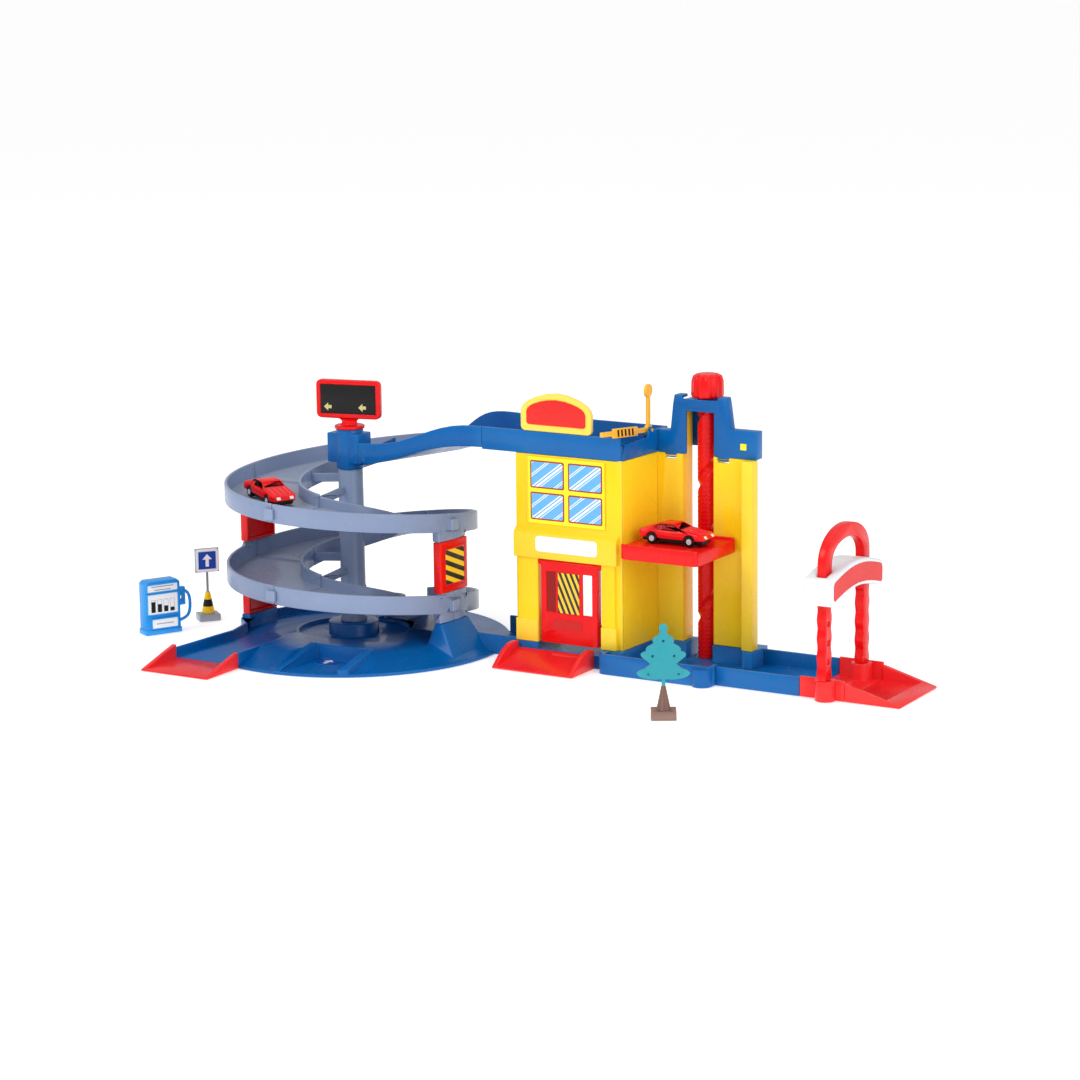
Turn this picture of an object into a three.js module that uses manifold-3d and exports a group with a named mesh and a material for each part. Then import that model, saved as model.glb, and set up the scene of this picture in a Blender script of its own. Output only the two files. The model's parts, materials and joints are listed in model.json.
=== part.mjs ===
// A toy parking garage: a front with a door, a roof deck, a screw lift and a two-turn spiral ramp,
// with two cars, a fuel pump, a parking sign and a tree.
// Millimetres, +Z up. The origin is on the floor, under the axis of the spiral's column.
import * as THREE from 'three';
import { mergeVertices } from 'three/addons/utils/BufferGeometryUtils.js';
import Module from 'manifold-3d';

const wasm = await Module();
wasm.setup();

// Values shared by all pieces
const seat = 0.3;
const overrun = 2;
const shell = 3;
const plate = 3;
const kerbTop = 19.5;
const fullTurn = 360;
const quarterTurn = 90;

// Spiral ramp
const rampOuterRadius = 125;
const rampInnerRadius = 49;
const rimHeight = 18.5;
const rampMeanTop = 215;
const rampPitch = 80.5;
const rampTilt = 7.5;
const tiltAngle = 235;
const entryAngle = 62;
const firstSeam = 86;
const quarters = 8;
const rampStep = 6;
const clipWidth = 7;
const clipDepth = 3.5;
const clipHeight = 11;
const webThickness = 2;
const webTop = 14;
const webHeight = 9;
const webRise = 4;
// Inner kerb at both ends of a quarter, as shares of the outer rim's height
const kerbShares = [[1, 1], [1, 0.86], [0.76, 0.65], [0.65, 1]];

// Column of the spiral
const columnRadius = 12.5;
const bossRadius = 25;
const bossTop = 21;
const columnTopRadius = 12.1;
const lowerJoint = 52;
const upperJoint = 132;
const columnTop = 175;
const columnFootStep = 0.8;
const columnFootHeight = 4;
const columnSides = 32;

// Supports under the ramp
const supportWidth = 44;
const supportDepth = 9;
const supportWall = 2.4;
const lugHeight = 4;
const lugRise = 1;
const lugSteps = 2;
const panelProud = 0.8;
const panelMargin = 6;

// Tub on the column and the exit sign above it
const tubWidth = 36;
const tubDepth = 24;
const tubHeight = 29;
const tubBottom = 182;
const tubCentreX = -1;
const collarRadius = 13.5;
const flangeRadius = 15;
const flangeHeight = 3;
const collarTop = 215;
const neckWidth = 14;
const neckFlare = 3;
const neckDepth = 6;
const signWidth = 67;
const signBottom = 225;
const signHeight = 38;
const signDepth = 7;
const signBorder = 4.5;
const signCorner = 5;
// The exit sign is turned a little towards the road, in degrees
const signTurn = 12;
const signPanelDepth = 2;

// Bridge from the roof deck to the spiral
const bridgeEndX = 145;
const bridgeNearTop = 203.5;
// Exponents of the fall along the bridge, for its floor and for its far wall
const bridgeFloorPower = 1.4;
const bridgeFarPower = 2.4;
const bridgeSteps = 12;

// Base under the spiral
const baseRadius = 156;
const baseApronRadius = 120;
const baseApronTop = 15;
const baseRim = 3;
const roadInnerRadius = 58;
const roadOuterRadius = 128;
const bayLeft = 8;
const bayRight = 81;
const bayBack = -90;
const baySideWall = 9;
const bayKerbTop = 18;
const leftWallTop = 12;
const leftWallWaistX = -105;
const leftWallWaistY = -62;
const leftWallShoulderX = -112;
const leftWallShoulderY = -30;
const leftWallHeelY = -15;
const postTop = 16;
const finFoot = 22;
const leftRampX = -112;
const leftRampWidth = 79;
const leftRampSetback = 4;
const leftRampY = leftRampSetback - baseRadius;
const leftRampLength = 52;
const exitKerb = 16;
const exitKerbWall = 5;
const kerbFallShare = 0.35;
const kerbStepShare = 0.7;
const rampLip = 1.5;
const linkNear = 15;
const linkFar = 97;
const baseSides = 72;
const hubHeight = 12;
const hubDish = 4;
const roadSlopeAngle = 40;
const roadSlopeSteps = 6;
const finTopDepth = 8;
const finSpread = 8;

// Base under the building, the door's ramp and the road to the gate
const shaftFront = -7;
const deckHeight = 13;
const baseBack = 100;
const baseFront = 8;
const cornerRadius = 6;
const knuckleRadius = 10;
const knuckleTop = 17;
const doorRampRight = 272;
const doorRampLength = 44;
const doorKerbTop = 20;
const tongueSlotWidth = 5;
const tongueSlotLength = 34;
const trackLength = 88;
const trackFront = 5;
const trackBack = 93;
const trackWallTop = 18;
const gateRoadLength = 46;
const rightRampLength = 56;
const rightRampTaper = 2;
const rightRampBack = 17;
const deckEndShare = 0.72;
const kerbCrestShare = 0.62;
const kerbSteps = 8;
const cornerSteps = 4;

// Gate
const gatePostSetback = 18;
const gatePostDepth = 9;
const gatePostWidth = 13;
const gateNearY = 0;
const gateFarY = 81;
const gateWaveDepth = 0.9;
const gateWaveLength = 18;
const gateWaves = 4;
const gateArchTop = 161;
const gateBossRadius = 10;
const gateBoardDepth = 30;
const gateBoardOverhang = 15;
const gateBoardBottom = 92;
const gateBoardHeight = 25;
const gateBoardRise = 10;
const gateNotch = 5;
const gateNotchDepth = 1.5;
const waveSteps = 6;
const archSteps = 20;
const archSpring = gateBoardBottom + gateBoardHeight + gateBoardRise;
const archPower = 0.9;
const boardSteps = 12;

// Building
const buildingLeft = 183;
const buildingFront = 12;
const buildingRight = 304;
const frontWallRight = 300.5;
const roofLevel = 204;
const roofBack = 98;
const parapetTop = 226;
const doorLeft = 209;
const doorRight = 279;
const doorTop = 103;
const pillarProud = 3;
const leftPillarWidth = 22.6;
const leftPillarEdge = doorLeft - leftPillarWidth;
const rightPillarWidth = 15;
const rightPillarEdge = doorRight + rightPillarWidth;
const footHeight = 22;
const footProud = 1.5;
const footSpread = 2;
const ledgeTop = 130;
const ledgeProud = 6;
const ledgeSlope = 3;
const windowLeft = 195.4;
const windowRight = 280;
const windowBottom = 136.4;
const windowTop = 201.5;
const windowFrame = 4.4;
const windowProud = 1.2;
const paneDepth = 0.7;

// Garage door, hung from a bar at its top
const doorLeftGap = 3.5;
const doorRightGap = 4;
const doorPanelLeft = doorLeft + doorLeftGap;
const doorPanelRight = doorRight - doorRightGap;
const doorPanelBottom = 20.5;
const hingeHeight = 99.4;
const hingeRadius = 2.6;
const hingeY = 11;
const doorSkin = 2.4;
// The left window of the door is blind: its depth is a share of the skin
const blindWindowShare = 0.6;
const doorDepth = 8;
const doorWindowInset = 5.9;
const doorWindowLeft = doorPanelLeft + doorWindowInset;
const doorWindowWidth = 10.5;
const doorWindowBottom = 51;
const doorWindowHeight = 40;
const stripeWidth = 24;
const stripeProud = 0.6;

// Lift tower
const liftOffset = 46;
const liftWallY = 77;
const towerHalf = 61;
const knuckleSetback = 7;
const shaftSetback = 21;
const wellSetback = 4;
const slotLeftReach = 18.5;
const slotRightReach = 14.5;
const flangeBack = 97;
const columnWidth = 11.5;
const columnDepth = 10;
const towerTab = 66;
const bandTop = 231;
const crownHalfWidth = 32;
const crownShoulder = 253;
const crownTop = 261;
const crownChamfer = 4.5;
const crownDepth = 12;
const crownOpeningHalf = 15;
const crownOpeningTop = 246;
const topPlateBottom = 254.5;
const topPlateBack = 106;
const topPlateHalf = 16.6;
const hoodRightReach = 22;
const hoodLeftReach = 25;
const screwHoodBottom = 208;
const leftTabOffset = -31.5;
const rightTabOffset = 25;
const tabWidth = 12;
const tabDrop = 1.8;
const tabSlotTop = 201;
const tabSlotHeight = 2.6;

// Lift screw, knob and platform
const screwY = 93;
const screwRadius = 10;
const screwLead = 65;
const screwSides = 14;
const screwStepsPerTurn = 16;
const grooveDepth = 2.2;
const knobRadius = 16;
const knobTop = 281;
const knobFlutes = 12;
const knobFluteDepth = 1.3;
const knobSides = 60;
const knobProfileShares = [[0.92, 0], [1, 0.1], [0.98, 0.7], [0.88, 0.92], [0.62, 1]];
const platformReachLeft = 44;
const platformReachRight = 39;
const platformFront = -3.2;
const platformBack = 74.7;
const platformBottom = 113.4;
const platformDeck = 125.5;
const platformTop = 128.1;
const platformCorner = 5;
const followerWidth = 11;
const followerHeight = 10;
const followerRadius = 13.2;
const pegWidth = 2.6;

// Sign and barrier on the roof
const archSignLeft = 189.6;
const archSignRight = 267.5;
const archSignTop = 264;
const archSignDepth = 5;
const archSignBorder = 6;
// Outline of the arched sign, as shares of its half width and height, from the foot to the top
const plaqueShares = [[0.9, 0], [0.97, 0.03], [1, 0.1], [1, 0.5], [0.96, 0.62], [0.875, 0.72], [0.75, 0.8],
  [0.55, 0.89], [0.3, 0.965], [0, 1]];
const barrierSetback = 6;
const barrierThickness = 3;
const barrierPivotY = 69.5;
const barrierPivotZ = 226;
const barrierTipY = -22;
const barrierTipZ = 235;
const barrierHeight = 4.5;
const barrierHandleTop = 264;
const barrierKnobRadius = 6.5;
const barrierBoss = 6;
const barrierEar = 3;
const barrierPinRadius = 1.8;
const barrierPlateHeight = 9;
const lowKerbTop = 220;
// The roof's right side runs outwards from the front corner to the tower
const roofCorner = 8;
const roofCornerSteps = 4;
const plateStartShare = 0.25;
const plateEndShare = 0.75;

// Cars
const carLength = 72;
const carWidth = 28;
const carWheelbase = 40;
const carSill = 6.5;
const carNoseHeight = 8;
const carHoodHeight = 11.5;
const carCowlHeight = 15.5;
const carRoofHeight = 20;
const carTailHeight = 14;
const carCowlX = 11;
const carRoofFrontX = 1;
const carRoofBackX = -12;
const carHoodX = 33;
const carTaper = 4;
const carTumble = 3;
const wheelRadius = 5.5;
const wheelWidth = 4.2;
const wheelInset = 0.4;
const axleRadius = 1;
const archRadius = 6.4;
const chassisBottom = 2.4;
const glassDrop = 0.9;
const glassBottom = 11;
const glassInset = 3.4;
const upperCarInset = 5;
const upperCarAngle = 228;
const upperCarHeading = -30;
const liftCarY = 35;

// Fuel pump, parking sign and tree, which stand on the floor
const pumpStandOff = 30;
const pumpY = -67;
const pumpAngle = 62;
const pumpWidth = 38;
const pumpDepth = 16;
const pumpHeight = 55;
const pumpShoulder = 3;
const pumpPlinth = 5;
const pumpScreenProud = 0.8;
const pumpScreenMargin = 6;
const pumpScreenHeight = 20;
const hoseRadius = 1.6;
const hoseReach = 12;
const hoseTop = 43;
const hoseBottom = 9;
const nozzleWidth = 8;
const nozzleDepth = 6;
const nozzleBottom = 26;
const nozzleHole = 3;
const hoseSides = 8;
const hoseSteps = 20;
const parkingStandOff = 28;
const parkingY = 6;
const parkingAngle = 50;
const signBlockWidth = 22;
const signBlockDepth = 19;
const signBlockHeight = 7;
const coneBottomRadius = 7;
const coneTopRadius = 2.4;
const coneTop = 29.5;
const poleRadius = 1.3;
const signPlateBottom = 50;
const signPlateSize = 25;
const signPlateDepth = 2.4;
const treeSetback = 15;
const treeY = -124;
const treeAngle = 30;
const treeBlockWidth = 23;
const treeBlockDepth = 20;
const treeBlockHeight = 8;
const trunkBottomRadius = 7;
const trunkTopRadius = 2;
const trunkTop = 30;
const trunkFlutes = 8;
const trunkFluteDepth = 0.6;
const trunkSides = 48;
const treePegWidth = 3.4;
const treePlateBottom = 36;
const treePlateWidth = 49;
const treePlateTop = 88;
const treePlateDepth = 3;
const treeHoleRadius = 1.3;
const treeHoleShares = [[0, 0.69], [-0.2, 0.42], [0.2, 0.42], [-0.28, 0.1], [0.28, 0.1]];
const treeOutlineShares = [
  [0.1, 0.01], [0.3, 0], [0.62, 0.015], [0.86, 0.05], [1, 0.11], [0.9, 0.16], [0.68, 0.2], [0.47, 0.28],
  [0.62, 0.34], [0.82, 0.42], [0.84, 0.46], [0.76, 0.49], [0.64, 0.51], [0.65, 0.55], [0.58, 0.59],
  [0.36, 0.65], [0.4, 0.69], [0.38, 0.74], [0.18, 0.8], [0.12, 0.85], [0.16, 0.9], [0.15, 0.95], [0.09, 0.99],
];

// Places that follow from the sizes above
const liftX = buildingRight + liftOffset;
const towerRight = liftX + towerHalf;
const baseRight = towerRight - knuckleSetback;
const shaftLeft = buildingRight - shaftSetback;
const platformWellLeft = buildingRight - wellSetback;
const platformLeft = liftX - platformReachLeft;
const platformRight = liftX + platformReachRight;
const barrierX = buildingRight - barrierSetback;
const trackRight = baseRight + trackLength;
const gateRight = trackRight + gateRoadLength;
const gatePostX = gateRight - gatePostSetback;
const gateBoardLeft = gatePostX - gateBoardDepth / 2;
const gateBoardRight = gatePostX + gateBoardDepth / 2;
const upperCarRadius = (rampInnerRadius + rampOuterRadius) / 2 - upperCarInset;
const pumpX = -baseRadius - pumpStandOff;
const parkingX = -baseRadius - parkingStandOff;
const treeX = baseRight + treeSetback;

function solid(geometry) {
  const bare = geometry.clone();
  bare.deleteAttribute('normal');
  bare.deleteAttribute('uv');
  const merged = mergeVertices(bare, 1e-4);
  const triangles = Uint32Array.from(merged.index.array);
  if (signedVolume(merged) < 0) {
    triangles.reverse();
  }
  const mesh = new wasm.Mesh({
    numProp: 3,
    vertProperties: merged.attributes.position.array,
    triVerts: triangles,
  });
  return new wasm.Manifold(mesh);
}

function toGeometry(body) {
  const mesh = body.getMesh();
  const geometry = new THREE.BufferGeometry();
  geometry.setAttribute('position', new THREE.BufferAttribute(mesh.vertProperties, 3));
  geometry.setIndex(new THREE.BufferAttribute(mesh.triVerts, 1));
  geometry.computeVertexNormals();
  return geometry;
}

function block(x0, x1, y0, y1, z0, z1) {
  const geometry = new THREE.BoxGeometry(x1 - x0, y1 - y0, z1 - z0);
  geometry.translate((x0 + x1) / 2, (y0 + y1) / 2, (z0 + z1) / 2);
  return solid(geometry);
}

const alongX = new THREE.Matrix4().makeBasis(
  new THREE.Vector3(0, 1, 0),
  new THREE.Vector3(0, 0, 1),
  new THREE.Vector3(1, 0, 0),
);
const alongY = new THREE.Matrix4().makeBasis(
  new THREE.Vector3(1, 0, 0),
  new THREE.Vector3(0, 0, 1),
  new THREE.Vector3(0, -1, 0),
);

function extruded(outline, depth, curveSegments = 12) {
  const shape = outline instanceof THREE.Shape ? outline : new THREE.Shape(vectors(outline));
  return new THREE.ExtrudeGeometry(shape, { depth, bevelEnabled: false, curveSegments });
}

function vectors(points) {
  return points.map(([u, v]) => new THREE.Vector2(u, v));
}

// A prism of an outline in x and y, from z0 up to z1
function prismZ(outline, z0, z1) {
  const geometry = extruded(outline, z1 - z0);
  geometry.translate(0, 0, z0);
  return solid(geometry);
}

// A prism of an outline in x and z, from y0 back to y1
function prismY(outline, y0, y1) {
  const geometry = extruded(outline, y1 - y0);
  geometry.applyMatrix4(alongY);
  geometry.translate(0, y1, 0);
  return solid(geometry);
}

// A prism of an outline in y and z, from x0 to x1
function prismX(outline, x0, x1) {
  const geometry = extruded(outline, x1 - x0);
  geometry.applyMatrix4(alongX);
  geometry.translate(x0, 0, 0);
  return solid(geometry);
}

function rod(radius, z0, z1, x = 0, y = 0, sides = columnSides, topRadius = radius) {
  const geometry = new THREE.CylinderGeometry(topRadius, radius, z1 - z0, sides);
  geometry.rotateX(Math.PI / 2);
  geometry.translate(x, y, (z0 + z1) / 2);
  return solid(geometry);
}

function rodX(radius, x0, x1, y, z, sides = 24) {
  const geometry = new THREE.CylinderGeometry(radius, radius, x1 - x0, sides);
  geometry.rotateZ(Math.PI / 2);
  geometry.translate((x0 + x1) / 2, y, z);
  return solid(geometry);
}

function rodY(radius, y0, y1, x, z, sides = 24) {
  const geometry = new THREE.CylinderGeometry(radius, radius, y1 - y0, sides);
  geometry.translate(x, (y0 + y1) / 2, z);
  return solid(geometry);
}

// A closed body through rings of points, each ring in the same order, with flat ends
function loft(rings) {
  const count = rings[0].length;
  const positions = rings.flat().flatMap((point) => [point.x, point.y, point.z]);
  const triangles = [];
  for (let ring = 0; ring + 1 < rings.length; ring += 1) {
    for (let side = 0; side < count; side += 1) {
      const next = (side + 1) % count;
      const a = ring * count + side;
      const b = ring * count + next;
      triangles.push(a, b, b + count, a, b + count, a + count);
    }
  }
  const last = (rings.length - 1) * count;
  for (const [a, b, c] of capTriangles(rings[0])) {
    triangles.push(a, c, b);
  }
  for (const [a, b, c] of capTriangles(rings[rings.length - 1])) {
    triangles.push(last + a, last + b, last + c);
  }
  const geometry = new THREE.BufferGeometry();
  geometry.setAttribute('position', new THREE.Float32BufferAttribute(positions, 3));
  geometry.setIndex(triangles);
  return solid(geometry);
}

// Triangles of a flat ring, turned the way that the ring runs
function capTriangles(ring) {
  const normal = new THREE.Vector3();
  for (let side = 0; side < ring.length; side += 1) {
    const next = ring[(side + 1) % ring.length];
    normal.add(new THREE.Vector3().crossVectors(ring[side], next));
  }
  normal.normalize();
  const across = new THREE.Vector3().subVectors(ring[1], ring[0]).normalize();
  const up = new THREE.Vector3().crossVectors(normal, across);
  const flat = ring.map((point) => new THREE.Vector2(point.dot(across), point.dot(up)));
  return THREE.ShapeUtils.triangulateShape(flat, []);
}

function signedVolume(geometry) {
  const points = geometry.attributes.position;
  const index = geometry.index.array;
  const [a, b, c] = [new THREE.Vector3(), new THREE.Vector3(), new THREE.Vector3()];
  let volume = 0;
  for (let place = 0; place < index.length; place += 3) {
    a.fromBufferAttribute(points, index[place]);
    b.fromBufferAttribute(points, index[place + 1]);
    c.fromBufferAttribute(points, index[place + 2]);
    volume += a.dot(b.clone().cross(c)) / 6;
  }
  return volume;
}

// A body turned or moved by a matrix
function moved(body, matrix) {
  return solid(toGeometry(body).applyMatrix4(matrix));
}

function spun(body, angle) {
  return moved(body, new THREE.Matrix4().makeRotationZ(radians(angle)));
}

const garage = new THREE.Group();

function add(name, body, material, group = garage) {
  const mesh = new THREE.Mesh(toGeometry(body), material);
  mesh.name = name;
  group.add(mesh);
  return mesh;
}

function plastic(color, roughness = 0.45) {
  return new THREE.MeshStandardMaterial({ color, roughness, metalness: 0 });
}

const baseBlue = plastic('#0b6fb8');
const rampGrey = plastic('#7c90ae');
const red = plastic('#e0231f');
const frontYellow = plastic('#ffd935');
const sideYellow = plastic('#ffc107');
const barrierOrange = plastic('#fabb3f');
const black = plastic('#1b1a18');
const teal = plastic('#3cacb6');
const brown = plastic('#82604f');
const pumpBlue = plastic('#1e96dc');
const stoneGrey = plastic('#969ea4');
const white = plastic('#eef6f7');

function radians(degrees) {
  return THREE.MathUtils.degToRad(degrees);
}

function polar(radius, angle, z) {
  return new THREE.Vector3(radius * Math.cos(radians(angle)), radius * Math.sin(radians(angle)), z);
}

// Height of the outer rim's top edge at an angle round the column
function rimTop(angle) {
  const tilt = rampTilt * Math.sin(radians(angle - tiltAngle));
  return rampMeanTop - (rampPitch * angle) / fullTurn + tilt;
}

function rampSection(angle, kerbHeight) {
  const bottom = rimTop(angle) - rimHeight;
  const deckTop = bottom + plate;
  return [
    polar(rampInnerRadius, angle, bottom),
    polar(rampOuterRadius, angle, bottom),
    polar(rampOuterRadius, angle, bottom + rimHeight),
    polar(rampOuterRadius - shell, angle, bottom + rimHeight),
    polar(rampOuterRadius - shell, angle, deckTop),
    polar(rampInnerRadius + shell, angle, deckTop),
    polar(rampInnerRadius + shell, angle, bottom + kerbHeight),
    polar(rampInnerRadius, angle, bottom + kerbHeight),
  ];
}

function rampBody(fromAngle, toAngle, kerbHeights) {
  const steps = Math.round((toAngle - fromAngle) / rampStep);
  const rings = [];
  for (let step = 0; step <= steps; step += 1) {
    const share = step / steps;
    const kerb = kerbHeights[0] + (kerbHeights[1] - kerbHeights[0]) * share;
    rings.push(rampSection(fromAngle + (toAngle - fromAngle) * share, kerb));
  }
  return loft(rings);
}

// Spiral ramp: eight quarters, clipped end to end, after an entry piece under the bridge
const endGap = THREE.MathUtils.radToDeg(seat / 2 / rampInnerRadius);

// A clip on the outer wall that reaches over the seam to the next quarter
function seamClip(angle) {
  const top = rimTop(angle) - rimHeight / 4;
  const inner = rampOuterRadius + seat;
  const clip = block(inner, inner + clipDepth, -clipWidth, clipWidth / 2, top - clipHeight, top);
  const root = block(rampOuterRadius - shell / 2, inner + clipDepth / 2, -clipWidth, -clipWidth / 2,
    top - clipHeight, top);
  return spun(clip.add(root), angle);
}

// A web from the inner kerb to the column, on one side of a seam
function web(angle, side) {
  const top = rimTop(angle) - rimHeight + webTop;
  const inner = columnRadius + columnFootStep + seat;
  const outer = rampInnerRadius + shell / 2;
  const outline = [
    [inner, top + webRise - webHeight],
    [outer, top - webHeight],
    [outer, top],
    [inner, top + webRise],
  ];
  const from = side < 0 ? -seat / 2 - webThickness : seat / 2;
  return spun(prismY(outline, from, from + webThickness), angle);
}

// The supports stand at every second seam, so each half of a lug belongs to one quarter
const lugSpan = THREE.MathUtils.radToDeg(Math.asin(supportWidth / 2 / rampOuterRadius));

function standTop(angle) {
  return rimTop(angle - lugSpan) + lugRise;
}

function hangBottom(angle) {
  return rimTop(angle + lugSpan) - rimHeight - lugHeight;
}

// Half of a lug, on the side of the seam towards the ramp's lower or upper end
function halfLug(angle, side, depth, bottomAt, topAt) {
  const rings = [];
  for (let step = 0; step <= lugSteps; step += 1) {
    const share = step / lugSteps;
    const turned = angle + side * (endGap + (lugSpan - endGap) * share);
    rings.push([
      polar(rampOuterRadius - depth, turned, bottomAt(turned)),
      polar(rampOuterRadius, turned, bottomAt(turned)),
      polar(rampOuterRadius, turned, topAt(turned)),
      polar(rampOuterRadius - depth, turned, topAt(turned)),
    ]);
  }
  return loft(rings);
}

function supportLugs(quarter) {
  const atStart = quarter % 2 === 1;
  const angle = firstSeam + (atStart ? quarter : quarter + 1) * quarterTurn;
  const side = atStart ? 1 : -1;
  const below = halfLug(angle, side, supportDepth, () => hangBottom(angle),
    (turned) => rimTop(turned) - rimHeight + plate / 2);
  if (angle < firstSeam + fullTurn) {
    return below;
  }
  const above = halfLug(angle, side, shell, (turned) => rimTop(turned) - plate, () => standTop(angle));
  return below.add(above);
}

add('ramp_entry', rampBody(entryAngle, firstSeam - endGap, [rimHeight, rimHeight]), baseBlue);
for (let quarter = 0; quarter < quarters; quarter += 1) {
  const start = firstSeam + quarter * quarterTurn;
  const kerbs = kerbShares[quarter % 4].map((share) => share * rimHeight);
  let body = rampBody(start + endGap, start + quarterTurn - endGap, kerbs);
  if (quarter + 1 < quarters) {
    body = body.add(seamClip(start + quarterTurn - endGap));
  }
  if (quarter % 4 === 0) {
    body = body.add(web(start + quarterTurn, -1));
  }
  if (quarter % 4 === 2) {
    body = body.add(web(start, 1));
  }
  body = body.add(supportLugs(quarter));
  add(`ramp_quarter_${quarter + 1}`, body, rampGrey);
}

// Column in three lengths that taper a little, each on a foot
function columnLength(bottom, top) {
  return rod(columnRadius, bottom, top, 0, 0, columnSides, columnTopRadius)
    .add(rod(columnRadius + columnFootStep, bottom, bottom + columnFootHeight));
}

add('column_lower', columnLength(bossTop + seat, lowerJoint), rampGrey);
add('column_middle', columnLength(lowerJoint + seat, upperJoint), rampGrey);
add('column_upper', columnLength(upperJoint + seat, columnTop), rampGrey);

// Supports: hollow slabs that stand between the turns, with a striped panel on the outer face
function supportBody(angle, z0, z1) {
  const inner = rampOuterRadius - supportDepth;
  const slab = block(inner, rampOuterRadius, -supportWidth / 2, supportWidth / 2, z0, z1);
  const hollow = block(inner - overrun, rampOuterRadius - supportWall,
    supportWall - supportWidth / 2, supportWidth / 2 - supportWall, z0 + supportWall, z1 - supportWall);
  const panel = block(rampOuterRadius - supportWall / 2, rampOuterRadius + panelProud,
    panelMargin - supportWidth / 2, supportWidth / 2 - panelMargin, z0 + panelMargin, z1 - panelMargin);
  return spun(slab.subtract(hollow).add(panel), angle);
}

const leftSeam = firstSeam + quarterTurn;
const rightSeam = leftSeam + 2 * quarterTurn;
add('support_left_lower', supportBody(leftSeam, postTop + seat, hangBottom(leftSeam + fullTurn) - seat),
  red);
add('support_left_upper',
  supportBody(leftSeam, standTop(leftSeam + fullTurn) + seat, hangBottom(leftSeam) - seat), red);
add('support_right',
  supportBody(rightSeam, standTop(rightSeam + fullTurn) + seat, hangBottom(rightSeam) - seat), red);

// Tub on the column, with its collars, and the exit sign on a neck
const tubLeft = tubCentreX - tubWidth / 2;
const tubRight = tubLeft + tubWidth;
const tubTop = tubBottom + tubHeight;
const tub = block(tubLeft, tubLeft + tubWidth, -tubDepth / 2, tubDepth / 2, tubBottom, tubTop);
add('column_tub', tub.add(rod(collarRadius, columnTop + seat, collarTop)), baseBlue);

const neckBottom = collarTop + seat;
const signTop = signBottom + signHeight;
const signFrame = prismY(roundedRectangle(-signWidth / 2, signWidth / 2, signBottom, signTop, signCorner),
  -signDepth / 2, signDepth / 2);
const signRecess = block(signBorder - signWidth / 2, signWidth / 2 - signBorder, -signDepth / 2 - overrun,
  signPanelDepth - signDepth / 2, signBottom + signBorder, signTop - signBorder);
const neckHalf = neckWidth / 2;
const signNeck = prismY([
  [neckHalf + neckFlare, neckBottom],
  [neckHalf, neckBottom + flangeHeight + neckFlare],
  [neckHalf, signBottom - neckFlare],
  [neckHalf + neckFlare, signBottom],
  [neckHalf + neckFlare, signBottom + signBorder],
  [-neckHalf - neckFlare, signBottom + signBorder],
  [-neckHalf - neckFlare, signBottom],
  [-neckHalf, signBottom - neckFlare],
  [-neckHalf, neckBottom + flangeHeight + neckFlare],
  [-neckHalf - neckFlare, neckBottom],
], -neckDepth / 2, neckDepth / 2);
add('exit_sign', spun(signFrame.subtract(signRecess).add(signNeck), signTurn)
  .add(rod(flangeRadius, neckBottom, neckBottom + flangeHeight)), red);
const panelInset = signBorder + seat;
add('exit_sign_panel', spun(block(panelInset - signWidth / 2, signWidth / 2 - panelInset, -signDepth / 2,
  signPanelDepth - signDepth / 2 - seat, signBottom + panelInset, signTop - panelInset), signTurn), black);

// Bridge: a channel that narrows and falls from the roof deck to the head of the spiral
function smooth(share) {
  return share * share * (3 - 2 * share);
}

function bridgeNear(share) {
  const x = bridgeEndX + (tubRight + seat - bridgeEndX) * share;
  return new THREE.Vector3(x, buildingFront - (tubDepth / 2 + buildingFront) * smooth(share), 0);
}

function bridgeFar(share) {
  return new THREE.Vector3(bridgeEndX, roofBack, 0)
    .lerp(polar(rampOuterRadius, entryAngle - endGap, 0), share);
}

const entryTop = rimTop(entryAngle);
const entryBottom = entryTop - rimHeight;

function bridgeSection(share) {
  const near = bridgeNear(share);
  const far = bridgeFar(share);
  const fall = smooth(share ** bridgeFloorPower);
  const bottom = roofLevel + plate / 2 + (entryBottom - roofLevel - plate / 2) * fall;
  const floor = roofLevel + plate + (entryBottom - roofLevel) * fall;
  const nearTop = parapetTop + (bridgeNearTop - parapetTop) * smooth(smooth(share));
  const farTop = parapetTop + (entryTop - parapetTop) * smooth(share ** bridgeFarPower);
  const across = new THREE.Vector3().subVectors(far, near).normalize();
  const at = (end, inset, height) => end.clone().addScaledVector(across, inset).setZ(height);
  return [
    at(near, 0, bottom),
    at(far, 0, bottom),
    at(far, 0, farTop),
    at(far, -shell, farTop),
    at(far, -shell, floor),
    at(near, shell, floor),
    at(near, shell, nearTop),
    at(near, 0, nearTop),
  ];
}

// The floor between the bridge's last section, the entry of the ramp and the tub
function bridgeCorner() {
  const share = 1 - 1 / (2 * bridgeSteps);
  const points = [
    bridgeNear(share),
    bridgeFar(share),
    polar(rampOuterRadius, entryAngle - endGap, 0),
    polar(rampInnerRadius, entryAngle - endGap, 0),
    new THREE.Vector3(tubRight + seat, tubDepth / 2, 0),
  ];
  return prismZ(points.map((point) => [point.x, point.y]), entryBottom, entryBottom + plate);
}

const bridgeRings = [];
for (let step = 0; step <= bridgeSteps; step += 1) {
  bridgeRings.push(bridgeSection(step / bridgeSteps));
}
add('bridge_track', loft(bridgeRings).add(bridgeCorner()), baseBlue);

// A rectangle with rounded corners, as an outline of width and height
function roundedRectangle(left, right, bottom, top, radius) {
  return [
    ...roundedCorner([right - radius, top - radius], radius, 0),
    ...roundedCorner([left + radius, top - radius], radius, quarterTurn),
    ...roundedCorner([left + radius, bottom + radius], radius, 2 * quarterTurn),
    ...roundedCorner([right - radius, bottom + radius], radius, 3 * quarterTurn),
  ];
}

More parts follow.
